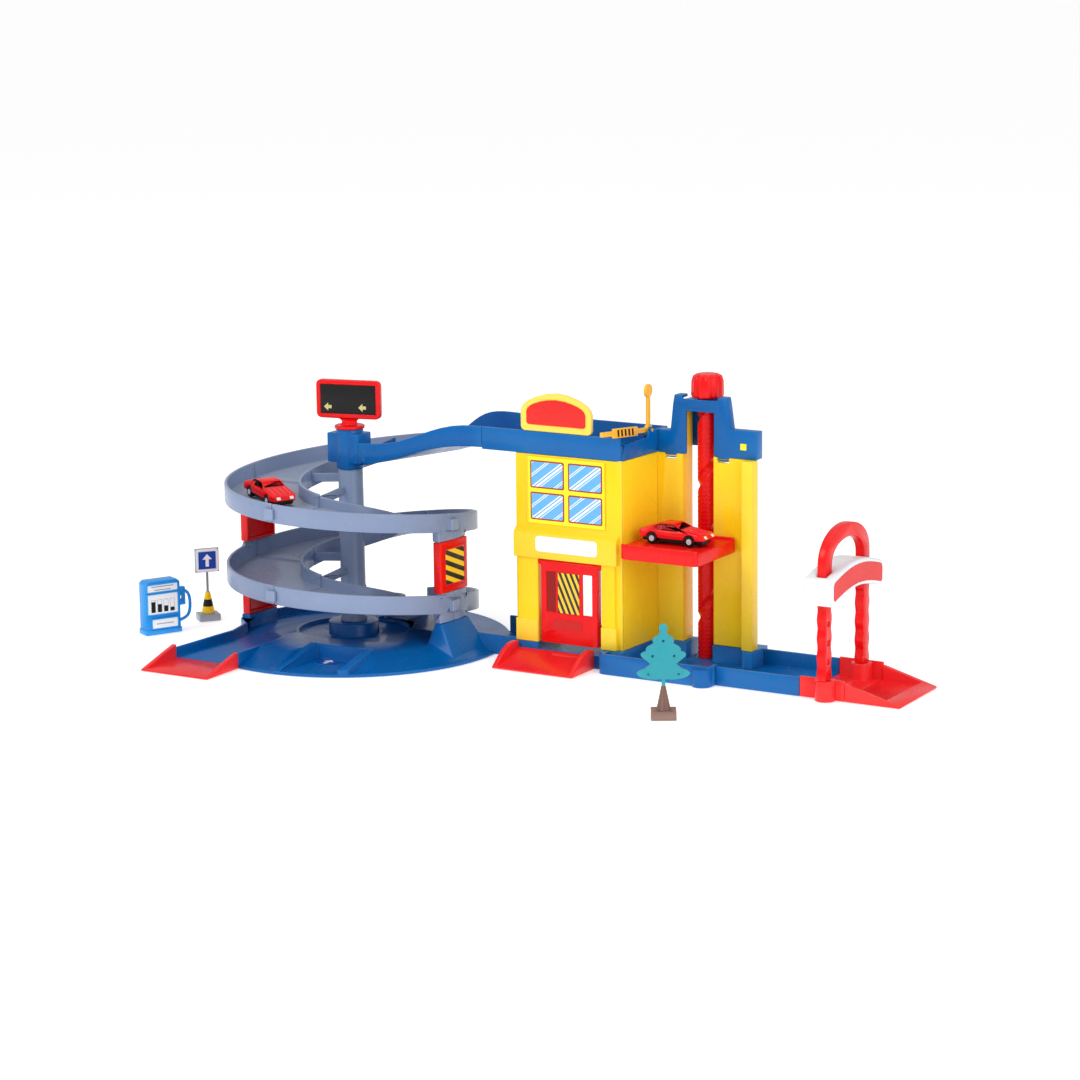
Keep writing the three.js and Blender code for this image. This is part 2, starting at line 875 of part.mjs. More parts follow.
// A ring made by turning a closed outline of radius and height round the column's axis
function turned(outline, sides = baseSides) {
  const closed = [...outline, outline[0]];
  const geometry = new THREE.LatheGeometry(vectors(closed), sides);
  geometry.rotateX(Math.PI / 2);
  return solid(geometry);
}

// Base under the spiral: a disc with an apron, a parking bay, the road off the ramp and a link
function spiralBase() {
  const disc = rod(baseRadius, 0, plate, 0, 0, baseSides);
  const apron = turned([
    [roadInnerRadius, 0],
    [baseRadius - baseRim, 0],
    [baseRadius - baseRim, plate],
    [baseApronRadius, baseApronTop],
    [roadInnerRadius, baseApronTop],
  ]);
  const exitRight = leftRampX + leftRampWidth;
  const apronRegion = block(exitRight - shell, baseRadius, -baseRadius, linkNear + shell, 0, baseApronTop);
  const bay = block(bayLeft, bayRight, -baseRadius, bayBack, plate, bayKerbTop + overrun);
  const discRange = rod(baseRadius, 0, bayKerbTop, 0, 0, baseSides);
  const kerbOutline = [[-baseRadius, 0], [bayBack, 0], [bayBack, bayKerbTop], [-baseRadius, plate]];
  const bayKerbs = prismX(kerbOutline, bayLeft, bayLeft + baySideWall)
    .add(prismX(kerbOutline, bayRight - baySideWall, bayRight))
    .add(block(bayLeft, bayRight, bayBack, bayBack + shell, 0, bayKerbTop))
    .intersect(discRange);
  const hub = rod(roadInnerRadius + seat, 0, hubHeight, 0, 0, baseSides)
    .subtract(rod(roadInnerRadius - shell, hubHeight - hubDish, hubHeight + overrun, 0, 0, baseSides))
    .add(rod(bossRadius, 0, bossTop));
  return disc
    .add(apron.intersect(apronRegion).subtract(bay))
    .add(bayKerbs)
    .add(hub)
    .add(exitRoad(exitRight))
    .subtract(beyondRoadWall())
    .add(roadSlope())
    .add(supportPost())
    .add(buttress())
    .add(link())
    .subtract(block(leftRampX, exitRight, -baseRadius - overrun, leftRampY, -overrun, kerbTop));
}

// The wall beside the road off the ramp, from the exit round to the first seam, at an inset
function roadWallPath(inset) {
  const path = [
    [leftRampX + inset, leftRampY],
    [leftWallWaistX + inset, leftWallWaistY],
    [leftWallShoulderX + inset, leftWallShoulderY],
    [inset - roadOuterRadius, leftWallHeelY],
  ];
  const overlap = inset > 0 ? seat : 0;
  for (let angle = fullTurn / 2; angle >= firstSeam; angle -= rampStep) {
    const point = polar(roadOuterRadius - inset + overlap, angle, 0);
    path.push([point.x, point.y]);
  }
  return path;
}

// The ground on the far side of that wall, which the base leaves out
function beyondRoadWall() {
  const reach = 2 * baseRadius;
  const rim = [firstSeam, firstSeam + quarterTurn / 2, fullTurn / 2].map((angle) => polar(reach, angle, 0));
  const outline = [...roadWallPath(0), ...rim.map((point) => [point.x, point.y]), [-reach, leftRampY]];
  return prismZ(outline, -overrun, kerbTop);
}

// The road off the ramp: a floor to the exit, and a wall that goes round its outer side
function exitRoad(exitRight) {
  const floor = block(leftRampX, exitRight, leftRampY, leftWallShoulderY, 0, plate);
  const outer = roadWallPath(0);
  const inner = roadWallPath(shell);
  const wall = prismZ([...outer, ...inner.reverse()], 0, leftWallTop);
  const rightWall = block(exitRight - shell, exitRight, leftRampY, -roadInnerRadius, 0, baseApronTop);
  return floor.add(wall).add(rightWall);
}

// The slope that takes the road from the end of the ramp down to the floor
function roadSlope() {
  const rings = [];
  const top = rimTop(firstSeam + 2 * fullTurn) - rimHeight + plate;
  for (let step = 0; step <= roadSlopeSteps; step += 1) {
    const share = step / roadSlopeSteps;
    const angle = firstSeam + endGap + roadSlopeAngle * share;
    const height = top + (plate - top) * share;
    rings.push([
      polar(roadInnerRadius - shell, angle, 0),
      polar(roadOuterRadius - shell / 2, angle, 0),
      polar(roadOuterRadius - shell / 2, angle, height),
      polar(roadInnerRadius - shell, angle, height),
    ]);
  }
  return loft(rings);
}

function supportPost() {
  return spun(block(rampOuterRadius - supportDepth, roadOuterRadius - shell / 2, -supportWidth / 2,
    supportWidth / 2, 0, postTop), leftSeam);
}

// A buttress that carries the lower turn on the building's side
function buttress() {
  const top = hangBottom(rightSeam + fullTurn) - seat;
  const inner = rampOuterRadius - finTopDepth;
  const corners = (depth, reach, spread, z) => [
    new THREE.Vector3(inner - depth, -supportWidth / 2 - spread, z),
    new THREE.Vector3(rampOuterRadius + reach, -supportWidth / 2 - spread, z),
    new THREE.Vector3(rampOuterRadius + reach, supportWidth / 2 + spread, z),
    new THREE.Vector3(inner - depth, supportWidth / 2 + spread, z),
  ];
  return spun(loft([corners(finFoot / 2, finFoot, finSpread, 0), corners(0, 0, 0, top)]), rightSeam);
}

function link() {
  const start = rampOuterRadius - finFoot;
  const floor = block(start, buildingLeft, linkNear, linkFar, 0, plate);
  const near = block(rampOuterRadius, buildingLeft, linkNear, linkNear + shell, 0, kerbTop);
  const far = block(rampOuterRadius, buildingLeft, linkFar - shell, linkFar, 0, kerbTop);
  return floor.add(near).add(far);
}

add('spiral_base', spiralBase(), baseBlue);

// An exit ramp that falls towards the front, with a raised kerb on each side
function exitRamp(left, right, back, length, kerbHeight) {
  const front = back - length;
  const deck = prismX([[front, 0], [back, 0], [back, plate], [front, rampLip]], left, right);
  const kerbOutline = [
    [front, 0],
    [back, 0],
    [back, kerbHeight],
    [back - length * kerbFallShare, kerbHeight * kerbStepShare],
    [front, rampLip],
  ];
  return deck
    .add(prismX(kerbOutline, left, left + exitKerbWall))
    .add(prismX(kerbOutline, right - exitKerbWall, right));
}

add('left_exit_ramp', exitRamp(leftRampX, leftRampX + leftRampWidth, leftRampY - seat, leftRampLength,
  exitKerb), red);

// A flat outline with one corner rounded off
function roundedCorner(centre, radius, startAngle) {
  const points = [];
  for (let step = 0; step <= cornerSteps; step += 1) {
    const angle = radians(startAngle + (quarterTurn * step) / cornerSteps);
    points.push([centre[0] + radius * Math.cos(angle), centre[1] + radius * Math.sin(angle)]);
  }
  return points;
}

// Base under the building: a garage deck, a well for the lift and a knuckle by the road
function buildingBase() {
  const left = buildingLeft + seat;
  const outline = [
    [left, baseFront],
    [shaftLeft - cornerRadius, baseFront],
    ...roundedCorner([shaftLeft + cornerRadius, shaftFront + cornerRadius], cornerRadius, 2 * quarterTurn),
    ...roundedCorner([baseRight - cornerRadius, shaftFront + cornerRadius], cornerRadius, 3 * quarterTurn),
    [baseRight, baseBack],
    [left, baseBack],
  ];
  const garageRoom = block(left + shell, platformWellLeft, baseFront + shell, baseBack - shell, deckHeight,
    kerbTop + overrun);
  const doorway = block(doorLeft, doorRight, baseFront - overrun, baseFront + 2 * shell, deckHeight,
    kerbTop + overrun);
  const pocket = block(left + shell, platformWellLeft, baseFront + shell, baseBack - shell, -overrun,
    deckHeight - plate);
  const wellBack = platformBack + 2 * seat;
  const well = block(platformWellLeft + shell, baseRight - shell, shaftFront + shell, wellBack,
    plate, kerbTop + overrun);
  const frontWell = block(shaftLeft + 2 * shell, platformWellLeft + 2 * shell, shaftFront + shell,
    baseFront, plate, kerbTop + overrun);
  const roadMouth = block(baseRight - 2 * shell, baseRight + overrun, trackFront + shell,
    towerTab, plate, kerbTop + overrun);
  const followerSlot = block(liftX - slotRightReach, liftX + slotRightReach, wellBack - overrun,
    baseBack + overrun, plate, kerbTop + overrun);
  const tab = block(baseRight - shell, towerRight + seat, towerTab + seat, baseBack, 0, kerbTop);
  const knuckle = rod(knuckleRadius, 0, knuckleTop, baseRight - knuckleRadius,
    shaftFront + knuckleRadius / 2);
  return prismZ(outline, 0, kerbTop)
    .subtract(garageRoom)
    .subtract(doorway)
    .subtract(pocket)
    .add(knuckle)
    .add(tab)
    .subtract(well)
    .subtract(frontWell)
    .subtract(roadMouth)
    .subtract(followerSlot);
}

add('building_base', buildingBase(), baseBlue);

// Ramp in front of the door, with a high kerb on each side and a slot for the tongue of the base
function doorRamp() {
  const left = buildingLeft - seat;
  const back = baseFront - seat;
  const front = back - doorRampLength;
  const deck = prismX([[front, 0], [back, 0], [back, deckHeight], [front, rampLip]], left, doorRampRight);
  const crest = doorKerbTop - rampLip;
  const kerbOutline = [[front, 0], [back, 0]];
  for (let step = 0; step <= kerbSteps; step += 1) {
    const share = step / kerbSteps;
    const rise = Math.sin(Math.PI * (1 - share) * kerbCrestShare);
    kerbOutline.push([back - doorRampLength * share, rampLip + (crest * rise)]);
  }
  const slotRight = (left + doorRampRight) / 2 + tongueSlotLength;
  const slotBack = back - tongueSlotWidth;
  const slot = block(slotRight - tongueSlotLength, slotRight, slotBack - tongueSlotWidth, slotBack,
    deckHeight - plate - seat, deckHeight + overrun);
  return deck
    .subtract(slot)
    .add(prismX(kerbOutline, left, left + exitKerbWall))
    .add(prismX(kerbOutline, doorRampRight - exitKerbWall, doorRampRight));
}

add('door_ramp', doorRamp(), red);

// Road from the lift to the gate
function channel(left, right, near, far, top) {
  return block(left, right, near, far, 0, top)
    .subtract(block(left - overrun, right + overrun, near + shell, far - shell, plate, top + overrun));
}

const trackNotch = block(baseRight, towerRight + 2 * seat, towerTab, trackBack + overrun, -overrun,
  trackWallTop + overrun);
add('right_track', channel(baseRight + seat, trackRight, trackFront, trackBack, trackWallTop)
  .subtract(trackNotch), baseBlue);
const gateLeft = trackRight + seat;
const nearBoss = rod(gateBossRadius, 0, kerbTop, gatePostX, gateNearY + shell);
const farBoss = rod(gateBossRadius, 0, kerbTop, gatePostX, gateFarY);
const gateRoad = channel(gateLeft, gateRight, trackFront, trackBack, kerbTop);
const gateSide = gatePostWidth / 2 + gateWaveDepth + shell;
add('gate_base', gateRoad.add(nearBoss).add(farBoss)
  .subtract(block(gateLeft, gateRight, gateNearY + gateSide, gateFarY - gateSide, plate, kerbTop + overrun)),
red);

// Exit ramp beyond the gate, a little narrower at its tip, with a sunken deck
function rightExitRamp() {
  const left = gateRight + seat;
  const right = left + rightRampLength;
  const outline = [
    [left, trackFront],
    [right, trackFront],
    [right - rightRampTaper, trackBack],
    [left, trackBack],
  ];
  const wedge = prismY([[left, 0], [right, 0], [right, rampLip], [left, rightRampBack]], trackFront,
    trackBack);
  const deckCut = prismY([
    [left - overrun, plate],
    [left + rightRampLength * deckEndShare, plate],
    [left + rightRampLength * deckEndShare, rightRampBack + overrun],
    [left - overrun, rightRampBack + overrun],
  ], trackFront + exitKerbWall, trackBack - exitKerbWall);
  return wedge.intersect(prismZ(outline, 0, rightRampBack)).subtract(deckCut);
}

add('right_exit_ramp', rightExitRamp(), red);

// Gate: two wavy posts that run up into a pointed arch
function gateFrame() {
  const near = gateNearY;
  const far = gateFarY;
  const half = gatePostWidth / 2;
  const waveTop = kerbTop + gateWaveLength * gateWaves;
  const wave = (z) => half + gateWaveDepth * Math.sin((2 * Math.PI * (z - kerbTop)) / gateWaveLength);
  const steps = gateWaves * waveSteps;
  const post = (centre) => {
    const right = [];
    const left = [];
    for (let step = 0; step <= steps; step += 1) {
      const z = kerbTop + seat + ((waveTop - kerbTop - seat) * step) / steps;
      right.push([centre + wave(z), z]);
      left.push([centre - wave(z), z]);
    }
    return prismX([...right, ...left.reverse()], gatePostX - gatePostDepth / 2,
      gatePostX + gatePostDepth / 2);
  };
  const arch = (inset) => {
    const middle = (near + far) / 2;
    const reach = (far - near) / 2 + half - inset;
    const spring = waveTop - seat;
    const points = [[middle + reach, spring]];
    for (let step = 0; step <= archSteps; step += 1) {
      const angle = (Math.PI * step) / archSteps;
      const rise = gateArchTop - inset - archSpring;
      points.push([middle + reach * Math.cos(angle), archSpring + rise * Math.sin(angle) ** archPower]);
    }
    points.push([middle - reach, spring]);
    return points;
  };
  const outer = prismX(arch(0), gatePostX - gatePostDepth / 2, gatePostX + gatePostDepth / 2);
  const innerOutline = arch(gatePostWidth);
  innerOutline[0][1] -= overrun;
  innerOutline[innerOutline.length - 1][1] -= overrun;
  const inner = prismX(innerOutline, gatePostX - gatePostDepth, gatePostX + gatePostDepth);
  let frame = outer.subtract(inner).add(post(near)).add(post(far));
  for (let wavePlace = 0; wavePlace + 1 < gateWaves; wavePlace += 1) {
    const z = kerbTop + gateWaveLength * (wavePlace + 1) - gateNotch / 2;
    const face = gatePostX + gatePostDepth / 2;
    frame = frame.subtract(block(face - gateNotchDepth, face + overrun, near - gateNotch / 2,
      near + gateNotch / 2, z, z + gateNotch));
  }
  return frame;
}

add('gate_arch', gateFrame(), red);

// The curved board that the posts carry
function gateBoard() {
  const start = gateNearY - gateBoardOverhang;
  const end = gateFarY + gateBoardOverhang;
  const edge = (base) => {
    const points = [];
    for (let step = 0; step <= boardSteps; step += 1) {
      const share = step / boardSteps;
      points.push([start + (end - start) * share, base + gateBoardRise * Math.sin(Math.PI * share)]);
    }
    return points;
  };
  const outline = [...edge(gateBoardBottom), ...edge(gateBoardBottom + gateBoardHeight).reverse()];
  const openings = [gateNearY, gateFarY].map((centre) => block(
    gatePostX - gatePostDepth / 2 - seat,
    gatePostX + gatePostDepth / 2 + seat,
    centre - gatePostWidth / 2 - gateWaveDepth - seat,
    centre + gatePostWidth / 2 + gateWaveDepth + seat,
    gateBoardBottom - overrun,
    gateBoardBottom + gateBoardHeight + gateBoardRise,
  ));
  return prismX(outline, gateBoardLeft, gateBoardRight).subtract(openings[0]).subtract(openings[1]);
}

add('gate_board', gateBoard(), white);

// Front of the building, with the doorway, pillars with feet, a ledge and a four-pane window
function frontWall() {
  const bottom = kerbTop + seat;
  const top = roofLevel - seat;
  const face = buildingFront;
  const left = buildingLeft + seat;
  const wall = block(left, frontWallRight, face, face + shell, bottom, top)
    .subtract(block(doorLeft, doorRight, face - overrun, face + shell + overrun, bottom - overrun, doorTop));
  const pillar = (from, to) => block(from, to, face - pillarProud, face, bottom, doorTop);
  const foot = (from, to) => block(from, to, face - pillarProud - footProud, face, bottom,
    bottom + footHeight);
  const ledge = prismX([
    [face + shell / 2, doorTop],
    [face - ledgeProud, doorTop],
    [face - ledgeProud, ledgeTop - ledgeSlope],
    [face, ledgeTop + ledgeSlope],
    [face + shell / 2, ledgeTop + ledgeSlope],
  ], left, frontWallRight - ledgeSlope);
  const frame = block(windowLeft, windowRight, face - windowProud, face + shell / 2, windowBottom, windowTop);
  let body = wall
    .add(pillar(leftPillarEdge, doorLeft))
    .add(pillar(doorRight, rightPillarEdge))
    .add(foot(leftPillarEdge - footSpread, doorLeft))
    .add(foot(doorRight, rightPillarEdge + footSpread))
    .add(ledge)
    .add(frame);
  const middleX = (windowLeft + windowRight) / 2;
  const middleZ = (windowBottom + windowTop) / 2;
  const halfBar = windowFrame / 2;
  for (const [x0, x1] of [[windowLeft + windowFrame, middleX - halfBar], [middleX + halfBar,
    windowRight - windowFrame]]) {
    for (const [z0, z1] of [[windowBottom + windowFrame, middleZ - halfBar], [middleZ + halfBar,
      windowTop - windowFrame]]) {
      body = body.subtract(block(x0, x1, face - windowProud - overrun, face - windowProud + paneDepth, z0,
        z1));
    }
  }
  return body;
}

add('front_wall', frontWall(), frontYellow);
const sideFront = buildingFront + shell + seat;
add('left_side_wall', block(buildingLeft + seat, buildingLeft + seat + shell, sideFront, baseBack - shell,
  kerbTop + seat, roofLevel - seat), sideYellow);
add('right_side_wall', prismZ([
  [frontWallRight - shell, sideFront],
  [frontWallRight, sideFront],
  [buildingRight, liftWallY - seat],
  [buildingRight - shell, liftWallY - seat],
], kerbTop + seat, roofLevel - seat), sideYellow);

// Garage door: a shell with deep edges, two windows and a striped panel, under its hinge bar
function garageDoor() {
  const front = hingeY - hingeRadius;
  const door = block(doorPanelLeft, doorPanelRight, front, front + doorDepth, doorPanelBottom, hingeHeight);
  const hollow = block(doorPanelLeft + doorSkin, doorPanelRight - doorSkin, front + doorSkin,
    front + doorDepth + overrun, doorPanelBottom + doorSkin, hingeHeight - 2 * hingeRadius);
  const bar = rodX(hingeRadius, doorLeft + seat, doorRight - seat, hingeY, hingeHeight, 16);
  const windowRightStart = doorPanelLeft + doorPanelRight - doorWindowLeft - doorWindowWidth;
  const opening = (from, depth) => block(from, from + doorWindowWidth, front - overrun, front + depth,
    doorWindowBottom, doorWindowBottom + doorWindowHeight);
  const middle = (doorPanelLeft + doorPanelRight) / 2;
  const stripes = block(middle - stripeWidth / 2, middle + stripeWidth / 2, front - stripeProud,
    front + doorSkin / 2, doorWindowBottom, doorWindowBottom + doorWindowHeight);
  return door
    .subtract(hollow)
    .subtract(opening(doorWindowLeft, doorSkin * blindWindowShare))
    .subtract(opening(windowRightStart, doorDepth + overrun))
    .add(stripes)
    .add(bar);
}

add('garage_door', garageDoor(), red);

// Lift tower: two plain walls with flanges beside the slot, and a corner column on the right
const towerBottom = kerbTop + seat;
const towerTop = roofLevel - seat;
const slotLeft = liftX - slotLeftReach;
const slotRight = liftX + slotRightReach;
const towerBackY = liftWallY + shell;
const tabs = [leftTabOffset, rightTabOffset].map((offset) => liftX + offset);
const tabCut = (x, extra) => block(x - tabWidth / 2 - extra, x + tabWidth / 2 + extra, liftWallY - overrun,
  towerBackY + overrun, towerTop - tabDrop, towerTop + overrun);
const tabSlot = (x) => block(x - tabWidth / 2, x + tabWidth / 2, liftWallY - overrun, towerBackY + overrun,
  tabSlotTop - tabSlotHeight, tabSlotTop);
const leftWall = block(buildingRight - shell, slotLeft, liftWallY, towerBackY, towerBottom, towerTop)
  .add(block(slotLeft - shell, slotLeft, towerBackY - shell / 2, flangeBack, towerBottom, towerTop))
  .add(block(slotLeft - shell, slotLeft, towerBackY + seat, flangeBack, towerTop - overrun,
    crownOpeningTop - seat));
add('lift_wall_left', leftWall.subtract(tabCut(tabs[0], seat)).subtract(tabSlot(tabs[0])), sideYellow);
const rightWall = block(slotRight, towerRight, liftWallY, towerBackY, towerBottom, towerTop)
  .add(block(slotRight, slotRight + shell, liftWallY, flangeBack, towerBottom, towerTop))
  .add(block(towerRight - columnWidth, towerRight, liftWallY - columnDepth, towerBackY, towerBottom,
    towerTop));
add('lift_wall_right', rightWall.subtract(tabCut(tabs[1], seat)).subtract(tabSlot(tabs[1])), frontYellow);

// Head of the lift: a band along the wall, a crown, and a hood with a plate that holds the screw
const knobBottom = topPlateBottom + shell + seat;

function liftHead() {
  const left = buildingRight + seat;
  const outline = [
    [left, roofLevel],
    [towerRight, roofLevel],
    [towerRight, bandTop],
    [liftX + crownHalfWidth, bandTop],
    [liftX + crownHalfWidth - shell, crownShoulder],
    [liftX + crownHalfWidth - crownChamfer, crownTop],
    [liftX - crownHalfWidth + crownChamfer, crownTop],
    [liftX - crownHalfWidth + shell, crownShoulder],
    [liftX - crownHalfWidth, parapetTop],
    [left, parapetTop],
  ];
  const hollow = [
    [left + shell, roofLevel + shell],
    [towerRight - shell, roofLevel + shell],
    [towerRight - shell, bandTop - shell],
    [liftX + crownHalfWidth - shell, bandTop - shell],
    [liftX + crownHalfWidth - 2 * shell, crownShoulder - shell],
    [liftX + crownHalfWidth - crownChamfer - shell, crownTop - shell],
    [liftX - crownHalfWidth + crownChamfer + shell, crownTop - shell],
    [liftX - crownHalfWidth + 2 * shell, crownShoulder - shell],
    [liftX - crownHalfWidth + shell, parapetTop - shell],
    [left + shell, parapetTop - shell],
  ];
  const back = liftWallY + crownDepth;
  const cheek = (x) => block(x, x + shell, liftWallY, back, roofLevel, crownOpeningTop);
  const opening = block(liftX - crownOpeningHalf, liftX + crownOpeningHalf, liftWallY - overrun,
    back + overrun, roofLevel - overrun, crownOpeningTop);
  const topPlate = block(liftX - topPlateHalf, liftX + topPlateHalf, liftWallY, topPlateBack, topPlateBottom,
    knobBottom - seat);
  const bore = rod(screwRadius + seat, topPlateBottom - overrun, knobBottom + overrun, liftX, screwY);
  const hoodOutline = (inset, bottom, top) => [
    [liftX - hoodLeftReach + inset, bottom],
    [liftX + hoodRightReach - inset, bottom],
    [liftX + hoodRightReach - inset, bandTop],
    [liftX + topPlateHalf - inset, top],
    [liftX - topPlateHalf + inset, top],
    [liftX - hoodLeftReach + inset, crownOpeningTop],
  ];
  const hood = prismY(hoodOutline(0, screwHoodBottom, knobBottom - seat), back - shell, topPlateBack)
    .subtract(prismY(hoodOutline(shell, screwHoodBottom - overrun, topPlateBottom), back - shell - overrun,
      topPlateBack - shell));
  const flangeNotch = block(slotLeft - shell - seat, liftX, towerBackY, back + overrun, roofLevel - overrun,
    crownOpeningTop);
  const tab = (x) => block(x - tabWidth / 2, x + tabWidth / 2, liftWallY, towerBackY,
    towerTop - tabDrop + seat, roofLevel + shell / 2);
  return prismY(outline, liftWallY, back)
    .subtract(prismY(hollow, towerBackY, back + overrun))
    .add(tab(tabs[0]))
    .add(tab(tabs[1]))
    .add(hood)
    .add(cheek(liftX + crownOpeningHalf))
    .subtract(opening)
    .subtract(flangeNotch)
    .subtract(block(liftX - knobRadius - shell, liftX + knobRadius + shell, screwY - knobRadius - shell,
      back + overrun, knobBottom - seat, crownTop + overrun))
    .add(topPlate)
    .subtract(bore);
}

add('lift_head', liftHead(), baseBlue);

// Lift screw: a round bar with one groove that winds round it
function screwBody() {
  const bottom = plate + seat;
  const top = knobBottom;
  const steps = Math.round(((top - bottom) / screwLead) * screwStepsPerTurn);
  const rings = [];
  for (let step = 0; step <= steps; step += 1) {
    const z = bottom + ((top - bottom) * step) / steps;
    const turn = (fullTurn * (z - platformBottom - followerHeight / 2)) / screwLead - quarterTurn;
    const ring = [];
    for (let side = 0; side < screwSides; side += 1) {
      const inGroove = side < 2;
      const radius = inGroove ? screwRadius - grooveDepth : screwRadius;
      const angle = turn + ((side - 1 / 2) * fullTurn) / screwSides;
      ring.push(polar(radius, angle, z).add(new THREE.Vector3(liftX, screwY, 0)));
    }
    rings.push(ring);
  }
  return loft(rings);
}

add('lift_screw', screwBody(), red);

// Knob with finger flutes and a rounded top
function knobBody() {
  const bottom = knobBottom + seat;
  const rings = knobProfileShares.map(([across, up]) => {
    const ring = [];
    for (let side = 0; side < knobSides; side += 1) {
      const angle = (fullTurn * side) / knobSides;
      const dip = (knobFluteDepth * (1 - Math.cos(radians(knobFlutes * angle)))) / 2;
      ring.push(polar((knobRadius - dip) * across, angle, bottom + (knobTop - bottom) * up)
        .add(new THREE.Vector3(liftX, screwY, 0)));
    }
    return ring;
  });
  return loft(rings);
}

add('lift_knob', knobBody(), red);

// Lift platform: an upturned tray with a low rim at the front and back
function platformBody() {
  const outline = [
    ...roundedCorner([platformLeft + platformCorner, platformFront + platformCorner], platformCorner,
      2 * quarterTurn),
    ...roundedCorner([platformRight - platformCorner, platformFront + platformCorner], platformCorner,
      3 * quarterTurn),
    [platformRight, platformBack],
    [platformLeft, platformBack],
  ];
  const deckSpace = block(platformLeft - overrun, platformRight + overrun, platformFront + shell,
    platformBack - shell, platformDeck, platformTop + overrun);
  const under = block(platformLeft + shell, platformRight - shell, platformFront + shell,
    platformBack - shell, platformBottom - overrun, platformDeck - plate);
  return prismZ(outline, platformBottom, platformTop).subtract(deckSpace).subtract(under);
}

add('lift_platform', platformBody(), red);

const followerTop = platformBottom + followerHeight;
const followerHole = rod(screwRadius + 2 * seat, platformBottom - overrun, followerTop + overrun, liftX,
  screwY);
const followerRing = rod(followerRadius, platformBottom, followerTop, liftX, screwY);
const followerArm = block(liftX - followerWidth / 2, liftX + followerWidth / 2, platformBack + seat,
  screwY - screwRadius, platformBottom, followerTop);
const pegTip = screwY - screwRadius + grooveDepth - 2 * seat;
const followerPeg = block(liftX - pegWidth / 2, liftX + pegWidth / 2, screwY - followerRadius, pegTip,
  platformBottom + followerHeight / 2 - pegWidth / 2, platformBottom + followerHeight / 2 + pegWidth / 2);
add('lift_follower', followerRing.add(followerArm).subtract(followerHole).add(followerPeg), red);

// Roof deck with its parapets, and the ears of the barrier
function roofDeck() {
  const left = bridgeEndX + seat;
  const right = buildingRight;
  const roundCorner = (inset) => {
    const points = [];
    for (let step = 0; step <= roofCornerSteps; step += 1) {
      const point = polar(roofCorner - inset, (step / roofCornerSteps - 1) * quarterTurn, 0);
      points.push([frontWallRight - roofCorner + point.x, buildingFront + roofCorner + point.y]);
    }
    return points;
  };
  const outline = (inset) => [
    [left - inset, buildingFront + inset],
    ...roundCorner(inset),
    [right - inset, liftWallY - inset],
    [right - inset, roofBack - inset],
    [left - inset, roofBack - inset],
  ];
  const body = prismZ(outline(0), roofLevel, parapetTop)
    .subtract(prismZ(outline(shell), roofLevel + plate, parapetTop + overrun))
    .subtract(block(barrierX - barrierSetback, right + overrun, buildingFront + shell,
      barrierPivotY - barrierBoss - shell, lowKerbTop, parapetTop + overrun));
  const inner = barrierThickness / 2 + seat;
  const ear = (from) => block(from, from + barrierEar, barrierPivotY - barrierBoss / 2,
    barrierPivotY + barrierBoss / 2, roofLevel + plate / 2, barrierPivotZ)
    .add(rodX(barrierBoss / 2, from, from + barrierEar, barrierPivotY, barrierPivotZ, 16));
  const leftEar = barrierX - inner - barrierEar;
  const bore = rodX(barrierPinRadius + seat, leftEar - overrun, right + overrun, barrierPivotY,
    barrierPivotZ, 16);
  const armGap = block(barrierX - inner, barrierX + inner, buildingFront + shell,
    barrierPivotY + barrierBoss, lowKerbTop - shell, parapetTop + overrun);
  return body.subtract(armGap).add(ear(leftEar)).add(ear(barrierX + inner)).subtract(bore);
}

add('roof_deck', roofDeck(), baseBlue);

// The arched sign on the front parapet
function archSign() {
  const centre = (archSignLeft + archSignRight) / 2;
  const half = (archSignRight - archSignLeft) / 2;
  const bottom = parapetTop + seat;
  const plaque = (inset) => {
    const place = ([across, up]) => [
      centre + (half - inset) * across,
      bottom + inset + (archSignTop - bottom - 2 * inset) * up,
    ];
    const leftHalf = plaqueShares.slice(0, -1).reverse().map(([across, up]) => [-across, up]);
    return [...plaqueShares, ...leftHalf].map(place);
  };
  return prismY(plaque(0), buildingFront, buildingFront + archSignDepth)
    .subtract(prismY(plaque(archSignBorder), buildingFront - overrun, buildingFront + signPanelDepth / 2));
}

add('arched_sign', archSign(), frontYellow);

// Barrier: a bell-crank with a striped arm and an upright handle, on a pin between the ears
function barrierArm() {
  const x0 = barrierX - barrierThickness / 2;
  const x1 = barrierX + barrierThickness / 2;
  const slope = (barrierTipZ - barrierPivotZ) / (barrierTipY - barrierPivotY);
  const height = (y) => barrierPivotZ + slope * (y - barrierPivotY);
  const strip = (from, to, thick) => prismX([
    [from, height(from) - thick / 2],
    [to, height(to) - thick / 2],
    [to, height(to) + thick / 2],
    [from, height(from) + thick / 2],
  ], x0, x1);
  const reach = barrierPivotY - barrierTipY;
  const handle = block(x0, x1, barrierPivotY - barrierHeight / 2, barrierPivotY + barrierHeight / 2,
    barrierPivotZ, barrierHandleTop);
  return strip(barrierTipY, barrierPivotY, barrierHeight)
    .add(strip(barrierTipY + reach * plateStartShare, barrierTipY + reach * plateEndShare,
      barrierPlateHeight))
    .add(rodX(barrierBoss, x0, x1, barrierPivotY, barrierPivotZ))
    .add(handle)
    .add(rodX(barrierKnobRadius, x0, x1, barrierPivotY, barrierHandleTop))
    .subtract(rodX(barrierPinRadius + seat, x0 - overrun, x1 + overrun, barrierPivotY, barrierPivotZ, 16));
}

add('barrier_arm', barrierArm(), barrierOrange);
add('barrier_pin', rodX(barrierPinRadius, barrierX - barrierThickness / 2 - seat - barrierEar,
  barrierX + barrierThickness / 2 + seat + barrierEar, barrierPivotY, barrierPivotZ, 16), barrierOrange);

// Cars: a body with windows, dark glass inside, a chassis and two axles with their wheels
const carSilver = plastic('#b9bdc2', 0.3);

